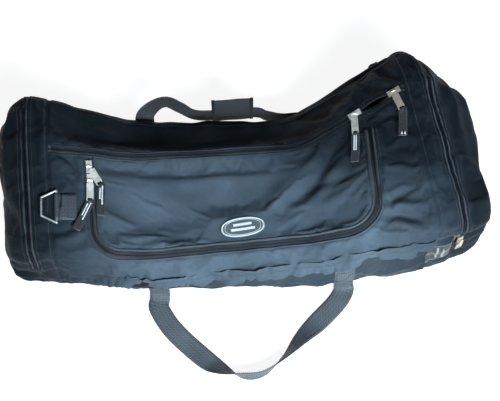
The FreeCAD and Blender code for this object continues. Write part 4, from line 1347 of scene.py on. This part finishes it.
here, run, side_way, normal = top_frame(-352, -36, (-1, 0))
ring_webbing("left", here, run, side_way, normal,
             lookup("top", np.linspace(-344, -317, 10), np.full(10, -36.0)))
back_slope = (surface(301, 2) - surface(299, 2)) / 2
run_back = unit(np.array([1.0, back_slope, 0]))
normal_back = np.array([-run_back[1], run_back[0], 0])
ring_webbing("right", np.array([300, surface(300, 2), 150.0]), run_back, np.array([0, 0, 1.0]),
             normal_back, lookup("back", np.linspace(292, 264, 10), np.full(10, 150.0)))


# ==== zip tabs ======================================================================
def plan_heading(frame_, way):
    normal = frame_[3]
    return unit(np.array([way[0], way[1], -(normal[0] * way[0] + normal[1] * way[1]) / normal[2]]))


def zip_tab(name, frame_, heading_way, tab_way, length, bars):
    """Webbing tab looped through a puller, with light bars (from, to, across, width)."""
    normal = frame_[3]
    heading, tab_heading = plan_heading(frame_, heading_way), plan_heading(frame_, tab_way)
    bar = frame_[0] + normal * 6.0 + heading * 41.0
    body = f"{name}_tab"
    root = bar + heading * 2.6
    knots = [bar + normal * 2.1 - heading * 1.8, bar + normal * 2.2 + heading * 1.4,
             root + normal * 1.2, root + tab_heading * 6 + normal * 0.4,
             root + tab_heading * length * 0.5 - normal * 0.6,
             root + tab_heading * (length - 2) + normal * 0.3]
    pos = catmull(knots, np.linspace(0, 5, 40))
    share = np.linspace(0, 1, 40)
    run = unit(np.gradient(pos, axis=0))
    wide = unit(np.cross(np.broadcast_to(normal, run.shape), run))
    up = np.cross(run, wide)
    half = np.where(share < 0.16, 3.7, 3.7 + (8.0 - 3.7) * step(0.14, 0.30, share))
    profile = np.stack([flat_profile(h * 2, 1.9 + 0.7 * float(step(0.2, 0.35, u)), 9, 0.25)
                        for h, u in zip(half, share)])
    settle(sweep(pos, wide, up, profile, f"{name}_tab_web", TAB), body, "tab", f"{name}_tab")
    # the underside of the loop round the puller's end bar
    a = np.radians(np.linspace(95, 275, 12))
    loop = (bar + heading * (-np.abs(np.cos(a))[:, None] * 2.1)
            + normal * (np.sin(a)[:, None] * 2.1))
    loop = np.vstack([loop, bar - normal * 1.9 + heading * 1.2,
                      root - normal * 0.6 + tab_heading * 3])
    run2 = unit(np.gradient(loop, axis=0))
    wide2 = unit(np.cross(np.broadcast_to(heading, run2.shape), normal)) * -1
    settle(sweep(loop, wide2, np.cross(run2, wide2), flat_profile(7.4, 0.9, 7),
                 f"{name}_tab_loop", TAB), body, "tab")
    for i, (low, top, across, wide_mm) in enumerate(bars):
        k = slice(int(low * 39), int(top * 39) + 1)
        p = pos[k] + wide[k] * across + up[k] * 1.72
        settle(sweep(p, wide[k], up[k], flat_profile(wide_mm, 0.4, 5), f"{name}_mark_{i}", MARK),
               body, "tab")
    edge = slice(15, 39)
    for label, way in (("a", 6.7), ("b", -6.7)):
        stitches(f"{name}_tab_stitch_{label}", pos[edge] + wide[edge] * way + up[edge] * 1.5,
                 up[edge], body, 2.8, 0.0, 1.9, slot="tab")


def wet_y(x):
    return float(np.interp(x, WET_ZIP[:, 0], WET_ZIP[:, 1]))


wet_run = (200 / 206, 47 / 206)
zip_tab("wet_a", top_frame(212, wet_y(212), wet_run), (-4, -44), (-10, -53), 54,
        [(0.44, 0.84, 1.8, 2.0), (0.44, 0.84, -2.2, 2.0)])
zip_tab("wet_b", top_frame(284, wet_y(284), wet_run), (10, -42), (-8, -47), 50,
        [(0.93, 0.99, 4.2, 2.2), (0.93, 0.99, -1.6, 2.2)])
zip_tab("lid_a", top_frame(-291, 15, (0, -1)), (-3, -44), (-28, -54), 60,
        [(0.44, 0.86, 2.0, 2.0), (0.48, 0.80, -2.4, 2.0)])
zip_tab("lid_b", top_frame(-291, 42, (0, -1)), (18, -36), (-5, -62), 60,
        [(0.42, 0.86, 2.0, 2.2), (0.42, 0.78, -2.2, 2.2)])


# ==== inside walls ==================================================================
def inner_wall(name, pos_of, rows, cols, node, seed):
    """A lining wall: a grid of places, rippled, with thickness."""
    a, b = np.meshgrid(np.linspace(0, 1, rows), np.linspace(0, 1, cols), indexing="ij")
    pos, out = pos_of(a, b)
    ripple = waves(np.stack([a * 300, b * 120], -1), 60, seed) * 2.2
    fade = np.minimum(1, 4 * np.minimum(np.minimum(a, 1 - a), np.minimum(b, 1 - b)))
    pos = pos + out * (ripple * fade)[..., None]
    quads, loop = sheet_faces(rows, cols)
    count = rows * cols
    rim = [[p, p + count, q + count, q] for p, q in zip(loop, np.roll(loop, -1))]
    both = np.vstack([(pos + out * 0.6).reshape(-1, 3), (pos - out * 0.6).reshape(-1, 3)])
    uv = np.stack([a * 0.3, b * 0.12], -1).reshape(-1, 2)
    obj = make(name, both, quads.tolist() + (quads[:, ::-1] + count).tolist() + rim, LINING,
               np.vstack([uv, uv]))
    settle(obj, "bag", "lining", node)


def end_wall(x_at, slant, sign):
    def place(a, b):
        y_low, y_high = surface(x_at, 1) + 7, surface(x_at, 2) - 7
        y = y_low + (y_high - y_low) * a
        x = x_at + slant * y
        ceiling = top_ceiling(x, y)
        round_in = 16 * (1 - np.sqrt(np.clip(1 - (2 * a - 1) ** 8, 0, 1)))
        z = 5 + round_in + (ceiling - 10 - 2.0 * round_in) * b
        return np.stack([x, y, z], -1), np.array([float(sign), 0, 0])
    return place


def top_ceiling(x, y):
    """Height of the inside of the top over each plan point."""
    pos, _ = lookup("top", x, y)
    return pos[..., 2] - 3


def divider_place(a, b):
    x = -386 + (336 + 386) * a
    y = wet_line(x) - CHAIN_HALF - 7
    ceiling = top_ceiling(x, y)
    return (np.stack([x, y, 4 + (ceiling - 8) * b], -1), np.array([0, 1.0, 0]))


inner_wall("left_inner_wall", end_wall(LEFT_ZIP_X + 13, 0.0, -1), 40, 18, "left_pocket_wall", 31)
inner_wall("right_inner_wall", end_wall(RIGHT_ZIP_X - 13, END_SLANT, 1), 40, 22,
           "right_pocket_wall", 32)
inner_wall("divider_cloth", divider_place, 90, 16, "wet_divider", 33)

# ==== CAD metal keeps its shape and gets its finish =================================
for name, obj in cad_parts.items():
    metal = None
    if name.endswith(("_slider", "_puller")):
        metal = DARK_METAL if name.startswith(("wet_b", "left_p", "right_p")) else ZIP_METAL
    elif name in ("left_ring", "right_ring"):
        metal = RING_METAL
    if metal:
        obj.data.materials.clear()
        obj.data.materials.append(metal)
        if not name.endswith("_ring"):
            bevel = obj.modifiers.new("soft_edges", "BEVEL")
            bevel.width, bevel.segments, bevel.limit_method = 0.35 * MM, 2, "ANGLE"
            bevel.angle_limit = math.radians(40)

# ==== floor, light, camera ==========================================================
bpy.ops.mesh.primitive_plane_add(size=1, location=(0, 0, -0.0004))
floor = bpy.context.object
floor.name = "studio_floor"
floor.scale = (14, 14, 1)
n = Nodes("floor_paper")
floor_grain = n.noise(30.0)
floor.data.materials.append(n.set(Base_Color=n.ramp(floor_grain, (0.38, 0.38, 0.38),
                                                    (0.40, 0.40, 0.40)), Roughness=0.9,
                                  Specular_IOR_Level=0.1, Emission_Color=(1, 1, 1, 1),
                                  Emission_Strength=0.85))

world = bpy.data.worlds.new("studio")
bpy.context.scene.world = world
world.use_nodes = True
world.node_tree.nodes["Background"].inputs["Color"].default_value = (0.93, 0.96, 1.0, 1)
world.node_tree.nodes["Background"].inputs["Strength"].default_value = 0.10


def area(name, place, target, size, power, colour):
    light = bpy.data.lights.new(name, "AREA")
    light.shape, light.size, light.size_y = "RECTANGLE", size[0], size[1]
    light.energy, light.color = power, colour
    obj = bpy.data.objects.new(name, light)
    bpy.context.scene.collection.objects.link(obj)
    obj.location = place
    obj.rotation_euler = (Vector(target) - Vector(place)).to_track_quat("-Z", "Y").to_euler()


area("key_window", (0.28, -1.35, 1.05), (-0.08, 0, 0.1), (1.1, 0.5), 80, (0.80, 0.92, 1.0))
area("top_soft", (0.2, 0.6, 3.2), (0, 0, 0), (3.0, 3.0), 12, (1.0, 1.0, 1.0))

AZ, EL, DISTANCE = math.radians(-7), math.radians(62), 1.7
target = Vector((0, 0, 0.07))
away = Vector((math.sin(AZ) * math.cos(EL), -math.cos(AZ) * math.cos(EL), math.sin(EL)))
camera = bpy.data.cameras.new("photo_camera")
camera.sensor_width, camera.lens = 36.0, 36.0 * 880 / 500
camera.shift_x, camera.shift_y = 0.006, -0.021
camera_obj = bpy.data.objects.new("photo_camera", camera)
bpy.context.scene.collection.objects.link(camera_obj)
camera_obj.location = target + away * DISTANCE
camera_obj.rotation_euler = (-away).to_track_quat("-Z", "Y").to_euler()
bpy.context.scene.camera = camera_obj
bpy.context.scene.view_settings.view_transform = "Standard"
